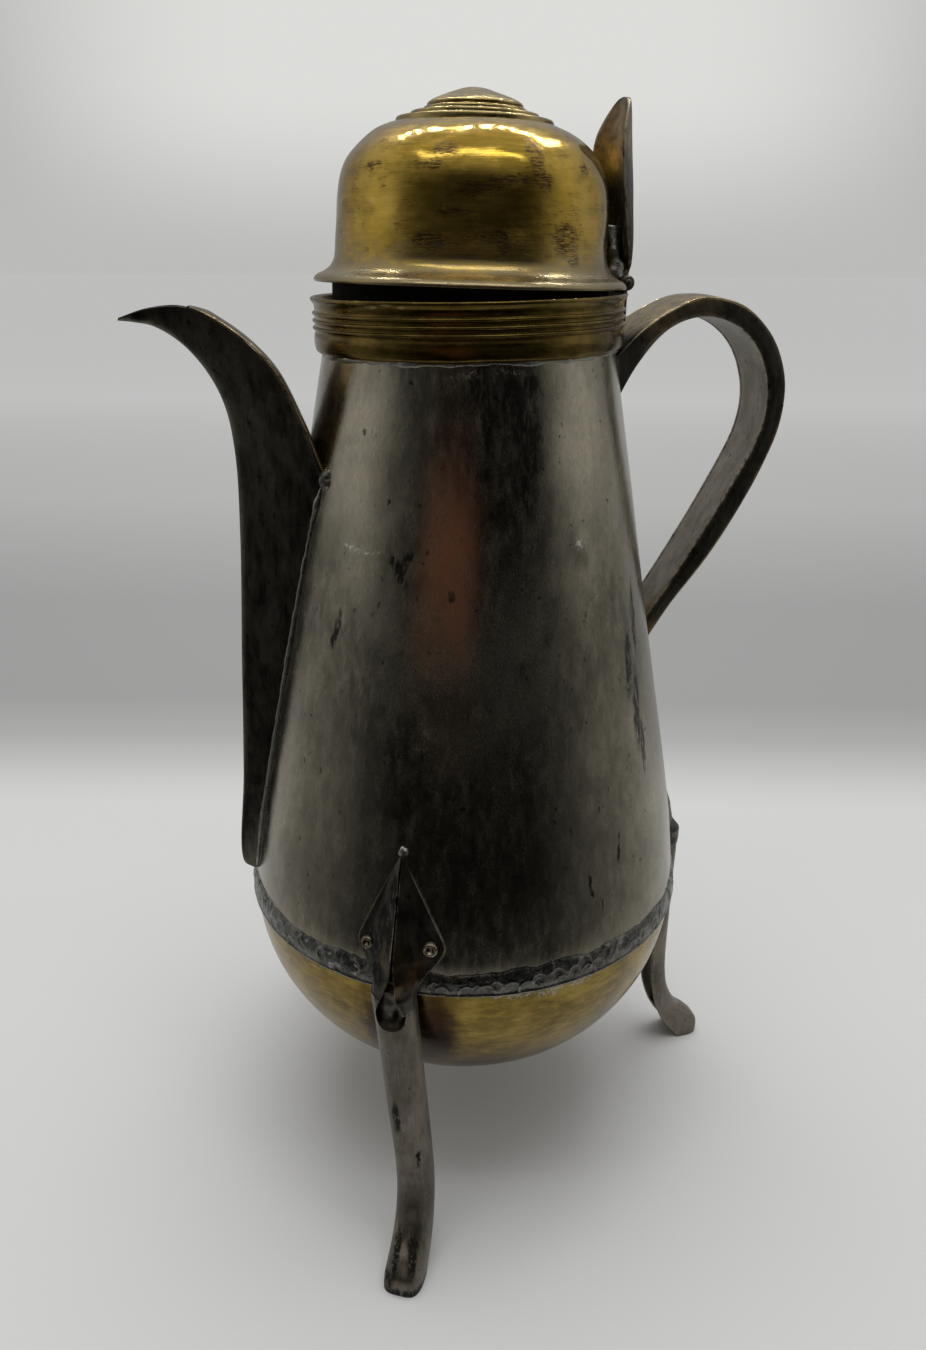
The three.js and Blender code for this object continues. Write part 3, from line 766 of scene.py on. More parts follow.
# ---------------------------------------------------------------- legs
LEG_CREST = Curve([(71.4, LEG_TOP), (71.0, 69), (71.0, 51), (71.0, 38), (71.5, 28), (73.0, 20.2),
                   (77.2, 12.4), (81.8, 8.4), (84.9, 4.6), (85.0, 1.0), (84.6, -2.0)])
LEG_BACK = Curve([(64.9, LEG_TOP), (64.7, 69), (64.6, 51), (64.8, 38), (65.4, 27), (67.0, 18.3),
                  (69.8, 10.6), (73.2, 5.0), (75.8, 1.8), (77.2, -1.0), (77.8, -3.2)])
LEG_HALF = [5.6, 5.3, 5.0, 5.0, 5.2, 5.3]
LEG_SHEET = 1.1
LEG_HALVES = evenly(LEG_HALF, 101)


def leg_arch(length, half, inset, steps, square):
    """An arch that is round where square is 1 and boxy where it is small."""
    out = []
    for i in range(steps + 1):
        a = math.pi * (i / steps - 0.5)
        depth = (length - inset) * (1 - max(math.cos(a), 0.0) ** square)
        side = math.copysign(abs(math.sin(a)) ** square, math.sin(a))
        out.append((inset + depth, half * side))
    return out


def leg_lean(name, z):
    if name != "front":
        return 0.0
    heights = [h for h, _ in FRONT_LEAN]
    fine = spline(FRONT_LEAN, 61)
    return float(np.interp(min(max(z, heights[0]), heights[-1]), fine[:, 0], fine[:, 1]))


def leg_mesh(name, seed):
    """The folded channel of a leg, and the solid metal that fills its toe."""
    lean = [leg_lean(name, z) for z in range(-4, 90)]

    def bent(p, y):
        side = float(np.interp(p[1], range(-4, 90), lean))
        lump = 0.16 * wobble(p[0], y, p[1] * 0.5, 9, seed)
        return (p[0] + lump, y + side + lump * 0.7, max(p[1], 0.0))

    def run(t0, t1, steps, solid):
        verts, n = [], 0
        for i in range(steps + 1):
            t = t0 + (t1 - t0) * i / steps
            a, d, length = across(LEG_CREST, LEG_BACK, t)
            half = float(np.interp(t, np.linspace(0, 1, len(LEG_HALVES)), LEG_HALVES))
            square = 0.78 - 0.24 * min(1.0, max(0.0, (t - 0.55) / 0.25))
            if solid:
                ring = leg_arch(length - 0.3, half - 0.5, 0.4, 20, square)
            else:
                ring = leg_arch(length, half, 0, 30, square)
                wall = leg_arch(length, half - LEG_SHEET, LEG_SHEET, 30, square)[::-1]
                ring = ring + [(length + 0.25, half - 0.5 * LEG_SHEET)] + wall
                ring += [(length + 0.25, -half + 0.5 * LEG_SHEET)]
            n = len(ring)
            verts += [bent(a + d * depth, y) for depth, y in ring]
        return verts, tube_faces(steps + 1, n)

    return join(run(0.0, 1.0, 120, False)), run(0.60, 0.995, 40, True)


def mouth_cutter(shift):
    """The hollow at the top of the leg's front that shows the inside."""
    outline = [(0, 73.8), (1.6, 74.0), (2.9, 74.7), (3.7, 76.0), (4.0, 78.0), (3.9, 90)]
    outline = outline + [(-y, z) for y, z in reversed(outline[1:])]
    ring = [(67.5, y + shift, z) for y, z in outline] + [(76, y + shift, z) for y, z in outline]
    return ring, tube_faces(2, len(outline))


LEG_PLACES = {name: Matrix.Rotation(math.radians(a), 4, "Z") for name, a in LEG_ANGLES.items()}
MOUTH_HEIGHT = 78
leg_pieces = []
for leg_name, leg_angle in LEG_ANGLES.items():
    shell, toe = leg_mesh(leg_name, 1.7 + leg_angle * 0.01)
    place = LEG_PLACES[leg_name]
    leg = make(f"leg_{leg_name}_channel", *shell, POT, "tinned_sheet", [f"leg_{leg_name}"], place)
    subtract(leg, *mouth_cutter(leg_lean(leg_name, MOUTH_HEIGHT)), place)
    leg_pieces.append(leg)
    leg_pieces.append(make(f"leg_{leg_name}_toe_fill", *toe, POT, "tinned_sheet", (), place))


def leg_throat(shift):
    """The rough dark metal at the back of the hollow, left from the bracket's folded stem."""
    rows, cols = 24, 14
    front, back = [], []
    for i in range(rows + 1):
        z = 70.5 + 13.5 * i / rows
        for j in range(cols + 1):
            y = 3.9 * (2 * j / cols - 1)
            x = 69.3 - 1.3 * (y / 3.9) ** 2 + 0.45 * wobble(0, y, z, 2.0, 3.7)
            x -= 1.1 * math.exp(-((y - 0.9) / 0.55) ** 2 - ((z - 77.0) / 2.6) ** 2)
            x += 0.7 * math.exp(-((z - 73.2) / 1.1) ** 2)
            front.append((x, y + shift, z))
            back.append((66.4, y + shift, z))
    return plate(front, back, rows, cols)


throats = []
for leg_name, place in LEG_PLACES.items():
    mesh = leg_throat(leg_lean(leg_name, MOUTH_HEIGHT))
    throats.append(make(f"leg_{leg_name}_throat", *mesh, POT, "dark_tin", (), place, sharp=60))


# ---------------------------------------------------------------- spade brackets and rivets
SPADE_TIP, SPADE_LOW = 117.6, 78.6
SPADE_EDGE = [(117.6, 0.12), (112, 3.0), (105, 6.4), (99, 9.1), (95.5, 10.7), (93.6, 11.2),
              (91.8, 10.9), (90, 9.8), (88, 8.1), (86, 6.7), (84.2, 5.9), (82, 5.55), (78.6, 5.4)]
SPADE_SLIT = [(117.6, 0.06), (112, 0.22), (100, 0.24), (91, 0.34), (88, 0.6), (86, 1.0),
              (84, 1.7), (82, 2.6), (80.5, 3.2), (78.6, 3.6)]
SPADE_RIDGE = [(117.6, 59.4, 0.5), (112, 61.5, 1.4), (102, 65.0, 3.2), (96, 67.3, 4.2),
               (91.5, 68.9, 4.8), (87, 69.9, 4.8), (84.5, 70.4, 4.6), (81, 70.6, 4.4),
               (78.6, 70.8, 4.2)]
RIVET_HEIGHT, RIVET_OFFSET = {-1: 93.1, 1: 93.8}, 8.0
FRONT_TURN = -0.85                 # degrees: the front bracket sits a little round the pot
SIDE_STRETCH = {-1: 1.0, 1: 1.06}


def spade_place(name):
    turn = LEG_ANGLES[name] + (FRONT_TURN if name == "front" else 0.0)
    return Matrix.Rotation(math.radians(turn), 4, "Z")


def spade_skin(z):
    """Radius that the bracket lies on: the body, and over the solder band lower down."""
    step = 1 / (1 + math.exp((z - 88.4) / 0.7))
    return body_radius(max(z, 81.0)) + 0.05 + 1.45 * step


def spade_mesh(side, seed):
    """One half of the bracket; the halves meet at a slit and run down into the leg's sides."""
    rows, cols = 100, 34

    def at(table, z, k=1):
        line = table[::-1]
        return float(np.interp(z, [e[0] for e in line], [e[k] for e in line]))

    front, back = [], []
    for i in range(rows + 1):
        z = SPADE_TIP + (SPADE_LOW - SPADE_TIP) * i / rows
        wide = at(SPADE_EDGE, z)
        wide *= 1 + (SIDE_STRETCH[side] - 1) * min(1.0, max(0.0, (z - 84) / 6))
        crest, half = at(SPADE_RIDGE, z), at(SPADE_RIDGE, z, 2)
        slit = at(SPADE_SLIT, z) + 0.08 * wobble(0, z, side, 3, seed)
        skin = spade_skin(z)
        joined = min(1.0, max(0.0, (87.0 - z) / 4.0))
        joined = joined * joined * (3 - 2 * joined)
        for j in range(cols + 1):
            u = j / cols
            y = slit + (wide - slit) * u
            base = math.sqrt(max(skin * skin - y * y, 1.0))
            rim = max(0.0, (u - 0.94) / 0.06) ** 2
            lip = max(0.0, (0.06 - u) / 0.06) ** 2
            thick = 1.15 - 0.3 * rim - 0.2 * lip
            fold = max(0.0, 1 - y / (half * 1.9)) ** 1.3
            lift = max(0.0, crest - base - 1.15) * fold
            lump = 0.14 * wobble(y, z, side * 4.0, 4, seed) * min(1, 3 * (1 - u))
            x_flat = base + thick + lift + lump
            off = min(abs(y) / 5.6, 1.0)
            x_leg = 71.55 - 6.0 * (1 - math.sqrt(max(0.0, 1 - off ** 2.6))) + lump
            x = x_flat + (x_leg - x_flat) * joined
            x_back = (base - 0.35 + max(0.0, lift - 1.0)) * (1 - joined) + (x - 0.8) * joined
            front.append((x - 0.25 * rim, side * y, z))
            back.append((min(x_back, x - 0.5), side * y, z))
    return plate(front, back, rows, cols)


def rivet_mesh(side, big):
    """A domed rivet head with a dimple in the middle."""
    height = RIVET_HEIGHT[side]
    skin = spade_skin(height)
    size = 0.95 if big else 0.82
    profile = [(0, 1.2), (0.5, 1.25), (0.85, 1.6), (1.15, 2.0), (1.5, 2.15), (1.9, 2.0),
               (2.1, 1.6), (2.2, 1.0), (2.2, -0.5), (0, -0.5)]
    profile = [(r * size, skin + x) for r, x in profile]
    verts, faces = turned(refined(profile[:-1], 3) + [profile[-1]], 40)
    turn = math.asin(RIVET_OFFSET / skin) * side
    m = (Matrix.Rotation(turn, 4, "Z") @ Matrix.Translation((0, 0, height))
         @ Matrix.Rotation(math.pi / 2, 4, "Y"))
    return placed(verts, m), faces


def tip_solder(seed):
    """A smear of solder at the bracket's point."""
    rows, cols = 14, 24
    r0 = body_radius(SPADE_TIP)
    verts = []
    for i in range(rows + 1):
        b = math.pi * i / rows
        for k in range(cols):
            a = 2 * math.pi * k / cols
            size = 1 + 0.35 * wobble(math.cos(a), math.sin(a), math.cos(b), 0.8, seed)
            y = 1.25 * size * math.sin(b) * math.cos(a)
            z = SPADE_TIP + 0.1 + 1.3 * size * math.sin(b) * math.sin(a)
            x = r0 + 0.1 + 0.6 * math.cos(b)
            verts.append((x, y, z))
    return verts, tube_faces(rows + 1, cols)


spades, rivets, tips = [], [], []
for leg_name, leg_angle in LEG_ANGLES.items():
    both = join(spade_mesh(1, 2.0 + leg_angle), spade_mesh(-1, 5.0 + leg_angle))
    place, start = spade_place(leg_name), f"leg_{leg_name}_"
    spades.append(make(start + "bracket", *both, POT, "dark_tin", [start + "spade"], place, 40))
    for tag, side in (("a", -1), ("b", 1)):
        rivets.append(make(start + "rivet_head_" + tag, *rivet_mesh(side, side > 0), POT, "steel",
                           [start + "rivet_" + tag], place, 60))
    smear = tip_solder(leg_angle * 0.1)
    tips.append(make(start + "tip_solder", *smear, POT, "solder", (), place, 80))


# ---------------------------------------------------------------- hinge on the collar
def hinge_plate():
    """The leaf of the hinge, bent round the collar."""
    rows, cols = 24, 20
    r0 = RIM_RADIUS + 0.1
    front, back = [], []
    for i in range(rows + 1):
        z = 236.6 + (245.6 - 236.6) * i / rows
        taper = 1 - 0.12 * (1 - i / rows)
        for j in range(cols + 1):
            y = HINGE_HALF * taper * (2 * j / cols - 1)
            e = max(abs(2 * j / cols - 1) - 0.9, 0) / 0.1
            edge = 0.3 * e * e + 0.3 * max(0, (0.06 - i / rows) / 0.06) ** 2
            x = math.sqrt(r0 * r0 - y * y)
            front.append((x + 1.1 - edge, y, z))
            back.append((x - 0.05, y, z))
    return plate(front, back, rows, cols)


gap = HINGE_KNUCKLE + 0.15
hinge_leaf = make("hinge_leaf", *hinge_plate(), POT, "steel", (), HEAD)
subtract(hinge_leaf, [(x, y, z) for x in (30, 50) for y in (-gap, gap) for z in (244.2, 250)],
         [(0, 1, 3, 2), (4, 6, 7, 5), (0, 4, 5, 1), (2, 3, 7, 6), (0, 2, 6, 4), (1, 5, 7, 3)], HEAD)
knuckles = make("hinge_knuckles", *join(
    round_bar(HINGE_X, HINGE_Z, HINGE_BARREL, -HINGE_HALF, -gap),
    round_bar(HINGE_X, HINGE_Z, HINGE_BARREL, gap, HINGE_HALF),
), POT, "steel", ["hinge_plate"], HEAD)
pin = make("hinge_pin_wire", *join(
    round_bar(HINGE_X, HINGE_Z, 0.95, -HINGE_HALF - 0.55, -HINGE_HALF + 0.5, 24, 0.3),
    round_bar(HINGE_X, HINGE_Z, 0.95, HINGE_HALF - 0.5, HINGE_HALF + 0.55, 24, 0.3),
), POT, "steel", ["hinge_pin"], HEAD)


# ---------------------------------------------------------------- lid
LID_TOP = 280.2
LID_OUTER = [(38.1, 244.95), (38.4, 245.2), (38.4, 245.75), (37.6, 246.6), (35.6, 247.6),
             (34.2, 248.9), (33.4, 250.6), (33.2, 253), (33.05, 258), (32.7, 263.8), (31.9, 268.8),
             (30.2, 272.5), (27.6, 275.5), (24.5, 277.8), (21.5, 279.2), (18.6, 280.1),
             (12, LID_TOP), (6, LID_TOP), (0, LID_TOP)]
LID_INNER = [(0, 279.3), (12, 279.3), (18.4, 279.2), (21.1, 278.4), (24.0, 277.0), (26.9, 274.8),
             (29.4, 271.9), (31.0, 268.4), (31.8, 263.7), (32.3, 253), (32.5, 250.4),
             (33.4, 248.4), (35.1, 246.8), (37.0, 245.8), (37.7, 244.95)]


def lid_change(r, a, z):
    x, y = polar(r, a)
    k = min(1.0, max(0.0, (z - 249) / 6)) * min(1.0, r / 12)
    dent = 0.34 * wobble(x, y, z * 1.1, 11.5, 1.9) + 0.08 * wobble(x, y, z, 4.6, 6.0)
    r += k * dent
    z += k * 0.7 * dent * min(1.0, max(0.0, (z - 266) / 8))
    if z < 249:
        z += 0.14 * wobble(x, y, 0, 14, 8.0)
    return r, z


dome_profile = ([tuple(p) for p in spline(LID_OUTER, 120)]
                + [tuple(p) for p in spline(LID_INNER, 70)])
dome = make("dome", *turned(dome_profile, 288, lid_change), LID, "brass_bright", ["lid_dome"],
            DOME_PLACE, 60)
subtract(dome, *round_bar(HINGE_X - LID_SHIFT, HINGE_Z, HINGE_BARREL + 0.35, -10, 10), DOME_PLACE)


def cap_profile():
    points = [(18.7, 279.9)]
    for r, z in ((18.4, 281.3), (15.0, 282.6), (12.0, 283.7)):
        points += [(r + 0.25, z - 0.95), (r + 0.28, z - 0.5), (r + 0.05, z - 0.12), (r - 0.6, z),
                   (r - 1.6, z + 0.08)]
    return points + [(9.0, 283.9), (0, 283.9), (0, 282.6), (11.0, 282.6), (14.0, 281.6),
                     (17.2, 280.6), (17.4, 279.9)]


def cap_change(r, a, z):
    return r + 0.10 * wobble(*polar(r, a), z, 7, 3.0), z


cap = make("stepped_cap", *turned(cap_profile(), 200, cap_change), LID, "brass_bright",
           ["lid_cap"], DOME_PLACE, 55)

BUTTON = [(11.3, 284.0), (11.3, 284.4), (10.7, 284.9), (9.2, 285.6), (7.4, 286.3), (5.2, 287.1),
          (3.0, 287.85), (1.4, 288.1), (0, 288.12)]


def button_change(r, a, z):
    dent = 0.22 * wobble(*polar(r, a), 0, 6.5, 2.3)
    return r + 0.3 * dent, z + dent * min(1, (z - 283.9) / 2)


button_profile = [tuple(p) for p in spline(BUTTON, 40)] + [(0, 283.6), (11.0, 283.6)]
button = make("top_button", *turned(button_profile, 160, button_change), LID, "brass_bright",
              ["lid_button"], DOME_PLACE, 60)

BEZEL = [(34.0, 239.4), (34.0, 246.2), (33.8, 246.5), (33.3, 246.5), (33.2, 246.2),
         (33.2, 239.4), (33.4, 239.2), (33.8, 239.2)]


def bezel_change(r, a, z):
    return r + 0.12 * wobble(*polar(30, a), z, 14, 4.0), z


bezel = make("inner_ring", *turned(refined(BEZEL, 2), 192, bezel_change), LID, "brass_dark",
             ["lid_bezel"], DOME_PLACE)

# Thumb piece: height, how far out the back of the leaf is, and its half width.
LEAF = [(249.6, 42.2, 3.2), (250.8, 42.5, 4.8), (254, 42.6, 6.8), (259, 42.3, 8.2),
        (265, 41.7, 9.0), (271, 41.0, 9.4), (276, 40.4, 9.4), (280.5, 39.9, 8.6),
        (284, 39.5, 7.0), (286.6, 39.1, 4.9),
        (288.0, 38.8, 2.6), (288.4, 38.7, 0.5)]


def leaf_mesh():
    rows, cols = 110, 28
    front, rear = [], []
    for z, back, half in spline(LEAF, rows + 1):
        for j in range(cols + 1):
            v = 2 * j / cols - 1
            y = max(half, 0.2) * v
            x = back - 0.058 * y * y
            rim = max(0.0, (abs(v) - 0.9) / 0.1) ** 2
            lump = 0.14 * wobble(x, y, z, 8, 5.5)
            rear.append((x - 0.3 * rim + lump, y, z))
            front.append((x - 1.1 + 0.3 * rim + lump, y, z))
    return plate(front, rear, rows, cols)


leaf = make("thumb_leaf", *leaf_mesh(), LID, "dark_tin", ["lid_thumb_piece"], LID_PLACE)


def tongue():
    """The strap that carries the leaf's load down to the middle knuckle."""
    outline = [(HINGE_X - 1.2, HINGE_Z), (HINGE_X + 1.6, HINGE_Z), (41.9, 249.6), (42.2, 252.8),
               (40.9, 253.2), (38.6, 252.0), (38.2, 249.2)]
    half = HINGE_KNUCKLE
    ring = [(x, -half, z) for x, z in outline] + [(x, half, z) for x, z in outline]
    return join((ring, tube_faces(2, len(outline))),
                round_bar(HINGE_X, HINGE_Z, HINGE_BARREL, -half, half))


lid_tongue = make("thumb_leaf_hinge_tongue", *tongue(), LID, "dark_tin", (), LID_PLACE, sharp=40)


def lid_fillet():
    """The rough solder between the dome's wall and the leaf."""
    rows, cols = 30, 28
    verts = []
    for i in range(rows + 1):
        u = i / rows
        z = 247.6 + 12.2 * u
        half = 5.6 * (1 - 0.62 * u ** 1.5)
        for k in range(cols):
            a = 2 * math.pi * k / cols
            lump = 1 + 0.14 * wobble(math.cos(a) * 2, math.sin(a) * 2, z, 2.2, 9.0)
            y = half * lump * math.cos(a)
            x = 37.4 - 0.35 * u + (3.6 - 1.2 * u) * lump * math.sin(a)
            x = max(x, 32.2)
            verts.append((x, y, z + 0.5 * wobble(y, x, 0, 3, 2.0) * (1 if 0 < i < rows else 0)))
    return verts, tube_faces(rows + 1, cols)


lid_joint = make("thumb_leaf_solder", *lid_fillet(), LID, "solder", ["lid_solder"], LID_PLACE,
                 sharp=80)


# ---------------------------------------------------------------- materials
class Nodes:
    """A short way to write shader nodes."""

    def __init__(self, tree):
        self.nodes, self.links = tree.nodes, tree.links
        self.nodes.clear()

    def put(self, value, socket):
        """Links an input to another node's output, or gives it a value."""
        if isinstance(value, bpy.types.NodeSocket):
            self.links.new(value, socket)
        elif isinstance(value, (tuple, list)) and len(value) == 3 and socket.type == "RGBA":
            socket.default_value = (*value, 1.0)
        else:
            socket.default_value = value

    def node(self, kind, **inputs):
        """A new node with its inputs given by name, an underline standing for a space."""
        node = self.nodes.new("ShaderNode" + kind)
        for name, value in inputs.items():
            self.put(value, node.inputs[name.replace("_", " ")])
        return node

    def worked(self, kind, operation, values):
        """A node that does sums, with its first inputs filled."""
        node = self.node(kind)
        node.operation = operation
        for socket, value in zip(node.inputs, values):
            self.put(value, socket)
        return node

    def math(self, operation, a, b=0.0, c=0.0, clamp=False):
        node = self.worked("Math", operation, (a, b, c))
        node.use_clamp = clamp
        return node.outputs[0]

    def times(self, a, b):
        return self.math("MULTIPLY", a, b)

    def weighed(self, a, share_a, b, share_b):
        return self.math("ADD", self.times(a, share_a), self.times(b, share_b))

    def vector(self, operation, *values):
        return self.worked("VectorMath", operation, values)

    def ramp(self, value, low, high, to_low=0.0, to_high=1.0, soft=True):
        node = self.node("MapRange", Value=value, From_Min=low, From_Max=high, To_Min=to_low,
                         To_Max=to_high)
        node.interpolation_type = "SMOOTHSTEP" if soft else "LINEAR"
        return node.outputs[0]

    def mix(self, share, a, b, kind="MIX"):
        node = self.node("Mix")
        node.data_type, node.blend_type = "RGBA", kind
        for index, value in ((0, share), (6, a), (7, b)):
            self.put(value, node.inputs[index])
        return node.outputs[2]

    def curve(self, value, stops):
        """A grey that follows (place 0 to 1, brightness) pairs."""
        node = self.node("ValToRGB")
        self.put(value, node.inputs[0])
        ramp = node.color_ramp
        ramp.interpolation = "LINEAR"
        while len(ramp.elements) < len(stops):
            ramp.elements.new(1.0)
        for element, (place, grey) in zip(ramp.elements, stops):
            element.position = place
            element.color = (grey, grey, grey, 1.0)
        return node.outputs[0]


class Graph(Nodes):
    """The nodes of one material. Coordinates are object space in millimetres."""

    def __init__(self, name):
        self.material = bpy.data.materials.new(name)
        self.material.use_nodes = True
        super().__init__(self.material.node_tree)
        self.shader = self.node("BsdfPrincipled")
        self.out = self.node("OutputMaterial", Surface=self.shader.outputs[0])
        scale = self.vector("SCALE", self.node("TexCoord").outputs["Object"])
        scale.inputs["Scale"].default_value = 1 / MM
        self.place = scale.outputs[0]

    def stretched(self, scale, turn=(0, 0, 0), shift=(0, 0, 0)):
        return self.node("Mapping", Scale=scale, Rotation=turn, Location=shift,
                         Vector=self.place).outputs[0]

    def noise(self, scale, detail=3.0, rough=0.55, twist=0.0, stretch=None, **moved):
        """Smooth noise; stretch, turn and shift change the space it is laid out in."""
        place = self.stretched(stretch, **moved) if stretch else self.place
        return self.node("TexNoise", Scale=scale, Detail=detail, Roughness=rough,
                         Distortion=twist, Vector=place).outputs[0]

    def bump(self, height, strength, distance, after=None):
        node = self.node("Bump", Strength=strength, Distance=distance, Height=height)
        if after is not None:
            self.links.new(after, node.inputs["Normal"])
        return node.outputs[0]

    def edges(self, low=0.52, high=0.60, to_low=0.0, to_high=1.0):
        """1 on edges that stand out and 0 in hollows, or the other way round."""
        return self.ramp(self.node("NewGeometry").outputs["Pointiness"], low, high, to_low, to_high)

    def xyz(self):
        return self.node("SeparateXYZ", Vector=self.place).outputs

    def along_floor(self, a, b):
        """How far a place is in the level direction (a, b)."""
        x, y, _ = self.xyz()
        return self.weighed(x, a, y, b)

    def greyed(self, colour, grey):
        """The colour made lighter and darker by a grey value."""
        tint = self.node("CombineColor")
        for socket in tint.inputs:
            self.links.new(grey, socket)
        return self.mix(0.8, colour, tint.outputs[0], "MULTIPLY")

    def spot(self, source, angle, height, radius, wide, tall, lean=0.0, soft=0.35):
        """A mark on a round surface: 1 inside an ellipse at an angle and height, 0 outside."""
        a, reach = math.radians(angle), 9.0
        turn = Matrix.Rotation(a, 3, "Z") @ Matrix.Rotation(math.radians(lean), 3, "X")
        node = self.node("Mapping", Location=(*polar(radius, a), height), Vector=source,
                         Rotation=turn.to_euler(), Scale=(reach, wide, tall))
        node.vector_type = "TEXTURE"
        size = self.vector("LENGTH", node.outputs[0]).outputs["Value"]
        return self.ramp(size, 1.0 - soft, 1.0 + soft, 1.0, 0.0)

    def spots(self, marks, jitter, scale=0.9, seed=(0, 0, 0)):
        """The union of several spots with ragged outlines."""
        rough = self.node("TexNoise", Scale=scale, Detail=4.0,
                          Vector=self.stretched((1, 1, 0.45), shift=seed))
        centred = self.vector("SUBTRACT", rough.outputs["Color"], (0.5, 0.5, 0.5)).outputs[0]
        moved = self.vector("MULTIPLY_ADD", centred, (jitter, jitter, jitter), self.place)
        total = None
        for mark in marks:
            one = self.spot(moved.outputs[0], *mark)
            total = one if total is None else self.math("MAXIMUM", total, one)
        return total

    def done(self, colour, roughness, normal=None, metallic=1.0):
        self.put(colour, self.shader.inputs["Base Color"])
        self.put(roughness, self.shader.inputs["Roughness"])
        self.put(metallic, self.shader.inputs["Metallic"])
        if normal is not None:
            self.links.new(normal, self.shader.inputs["Normal"])
        return self.material

    def see_through(self, cover, surface):
        """Leaves the surface only as far as cover goes, with clear air elsewhere."""
        clear = self.node("BsdfTransparent")
        blend = self.node("MixShader")
        for socket, value in zip(blend.inputs, (cover, clear.outputs[0], surface)):
            self.links.new(value, socket)
        self.links.new(blend.outputs[0], self.out.inputs[0])
        return self.material


# The default patch colour is the reddish brown of the body's painted reflection.
def tinned_metal(name, dark, light, rough=0.30, edge=0.0, marks=(), pale=(), stains_and_painted_light=(), grain=1.0,
                 stain_and_painted_light_colour=(0.30, 0.19, 0.13), stain_and_painted_light_depth=0.45, worn_colour=(0.40, 0.36, 0.27),
                 grime=1.0):
    """Old tinned sheet: grey with fine vertical grain, soft clouding and dark scuffs."""
    g = Graph(name)
    cloud = g.noise(0.045, 5, 0.6, 0.4)
    mottle = g.noise(0.35, 6, 0.65, stretch=(1, 1, 0.35))
    fine = g.noise(3.2, 5, 0.7, stretch=(1, 1, 0.05))
    hair = g.noise(7.0, 3, 0.6, stretch=(1, 1, 0.022), turn=(0.03, 0.02, 0))
    tone = g.weighed(cloud, 0.55, mottle, 0.45)
    colour = g.mix(g.ramp(tone, 0.36, 0.64), dark, light)
    colour = g.greyed(colour, g.ramp(fine, 0.35, 0.66, 0.82, 1.12))
    pits = g.ramp(g.noise(0.62, 5, 0.6, stretch=(1, 1, 0.7)), 0.70 - 0.06 * grime,
                  0.75 - 0.05 * grime)
    colour = g.mix(g.times(pits, 0.75), colour, (0.018, 0.017, 0.015))
    scuffs = g.ramp(g.noise(1.1, 7, 0.75, stretch=(1, 1, 0.16), turn=(0.12, -0.1, 0)), 0.63, 0.70)
    zone = g.ramp(g.noise(0.09, 2, 0.5, stretch=(1, 1, 0.6), shift=(9, 4, 2)), 0.5, 0.6)
    colour = g.mix(g.times(g.times(scuffs, zone), 0.8), colour, (0.022, 0.020, 0.017))
    scratch = g.noise(2.6, 2, 0.4, stretch=(0.5, 0.5, 0.035), turn=(0.5, 0.3, 0))
    colour = g.mix(g.times(g.ramp(scratch, 0.685, 0.70), 0.10), colour,
                   [min(1, 1.6 * c) for c in light])
    # Dark marks; on the thumb leaf they are painted shade on its lower part.
    if marks:
        broken = g.ramp(g.noise(1.1, 6, 0.7, stretch=(1, 1, 0.2)), 0.36, 0.50)
        cover = g.times(g.spots(marks, 2.6), broken)
        colour = g.mix(g.times(cover, 0.92), colour, (0.012, 0.011, 0.010))
    if pale:
        broken = g.ramp(g.noise(1.3, 5, 0.7), 0.46, 0.60)
        share = g.times(g.times(g.spots(pale, 2.2, 1.3, (5, 2, 8)), broken), 0.75)
        colour = g.mix(share, colour, (0.62, 0.61, 0.57))
    # Patches: real discolouring on the spade, handle and inner strip; a painted reflection on the
    # body; painted light on the thumb leaf's upper part.
    if stains_and_painted_light:
        blotch = g.ramp(g.noise(0.5, 4, 0.6), 0.35, 0.65, 0.35, 1.0)
        share = g.times(g.times(g.spots(stains_and_painted_light, 5.0, 0.4, (3, 7, 1)), blotch), stain_and_painted_light_depth)
        colour = g.mix(share, colour, stain_and_painted_light_colour)
    if edge:
        worn = g.times(g.edges(), g.ramp(g.noise(0.6, 4, 0.6), 0.35, 0.6))
        colour = g.mix(g.times(worn, edge), colour, worn_colour)
    roughness = g.ramp(g.weighed(mottle, 0.6, hair, 0.4), 0.3, 0.7, rough - 0.07, rough + 0.11)
    if marks:
        roughness = g.math("ADD", roughness, g.times(cover, 0.2), clamp=True)
    normal = g.bump(g.weighed(fine, 0.6, mottle, 1.2), 0.22 * grain, 0.00012)
    normal = g.bump(hair, 0.25 * grain, 0.00005, normal)
    return g.done(colour, roughness, normal)


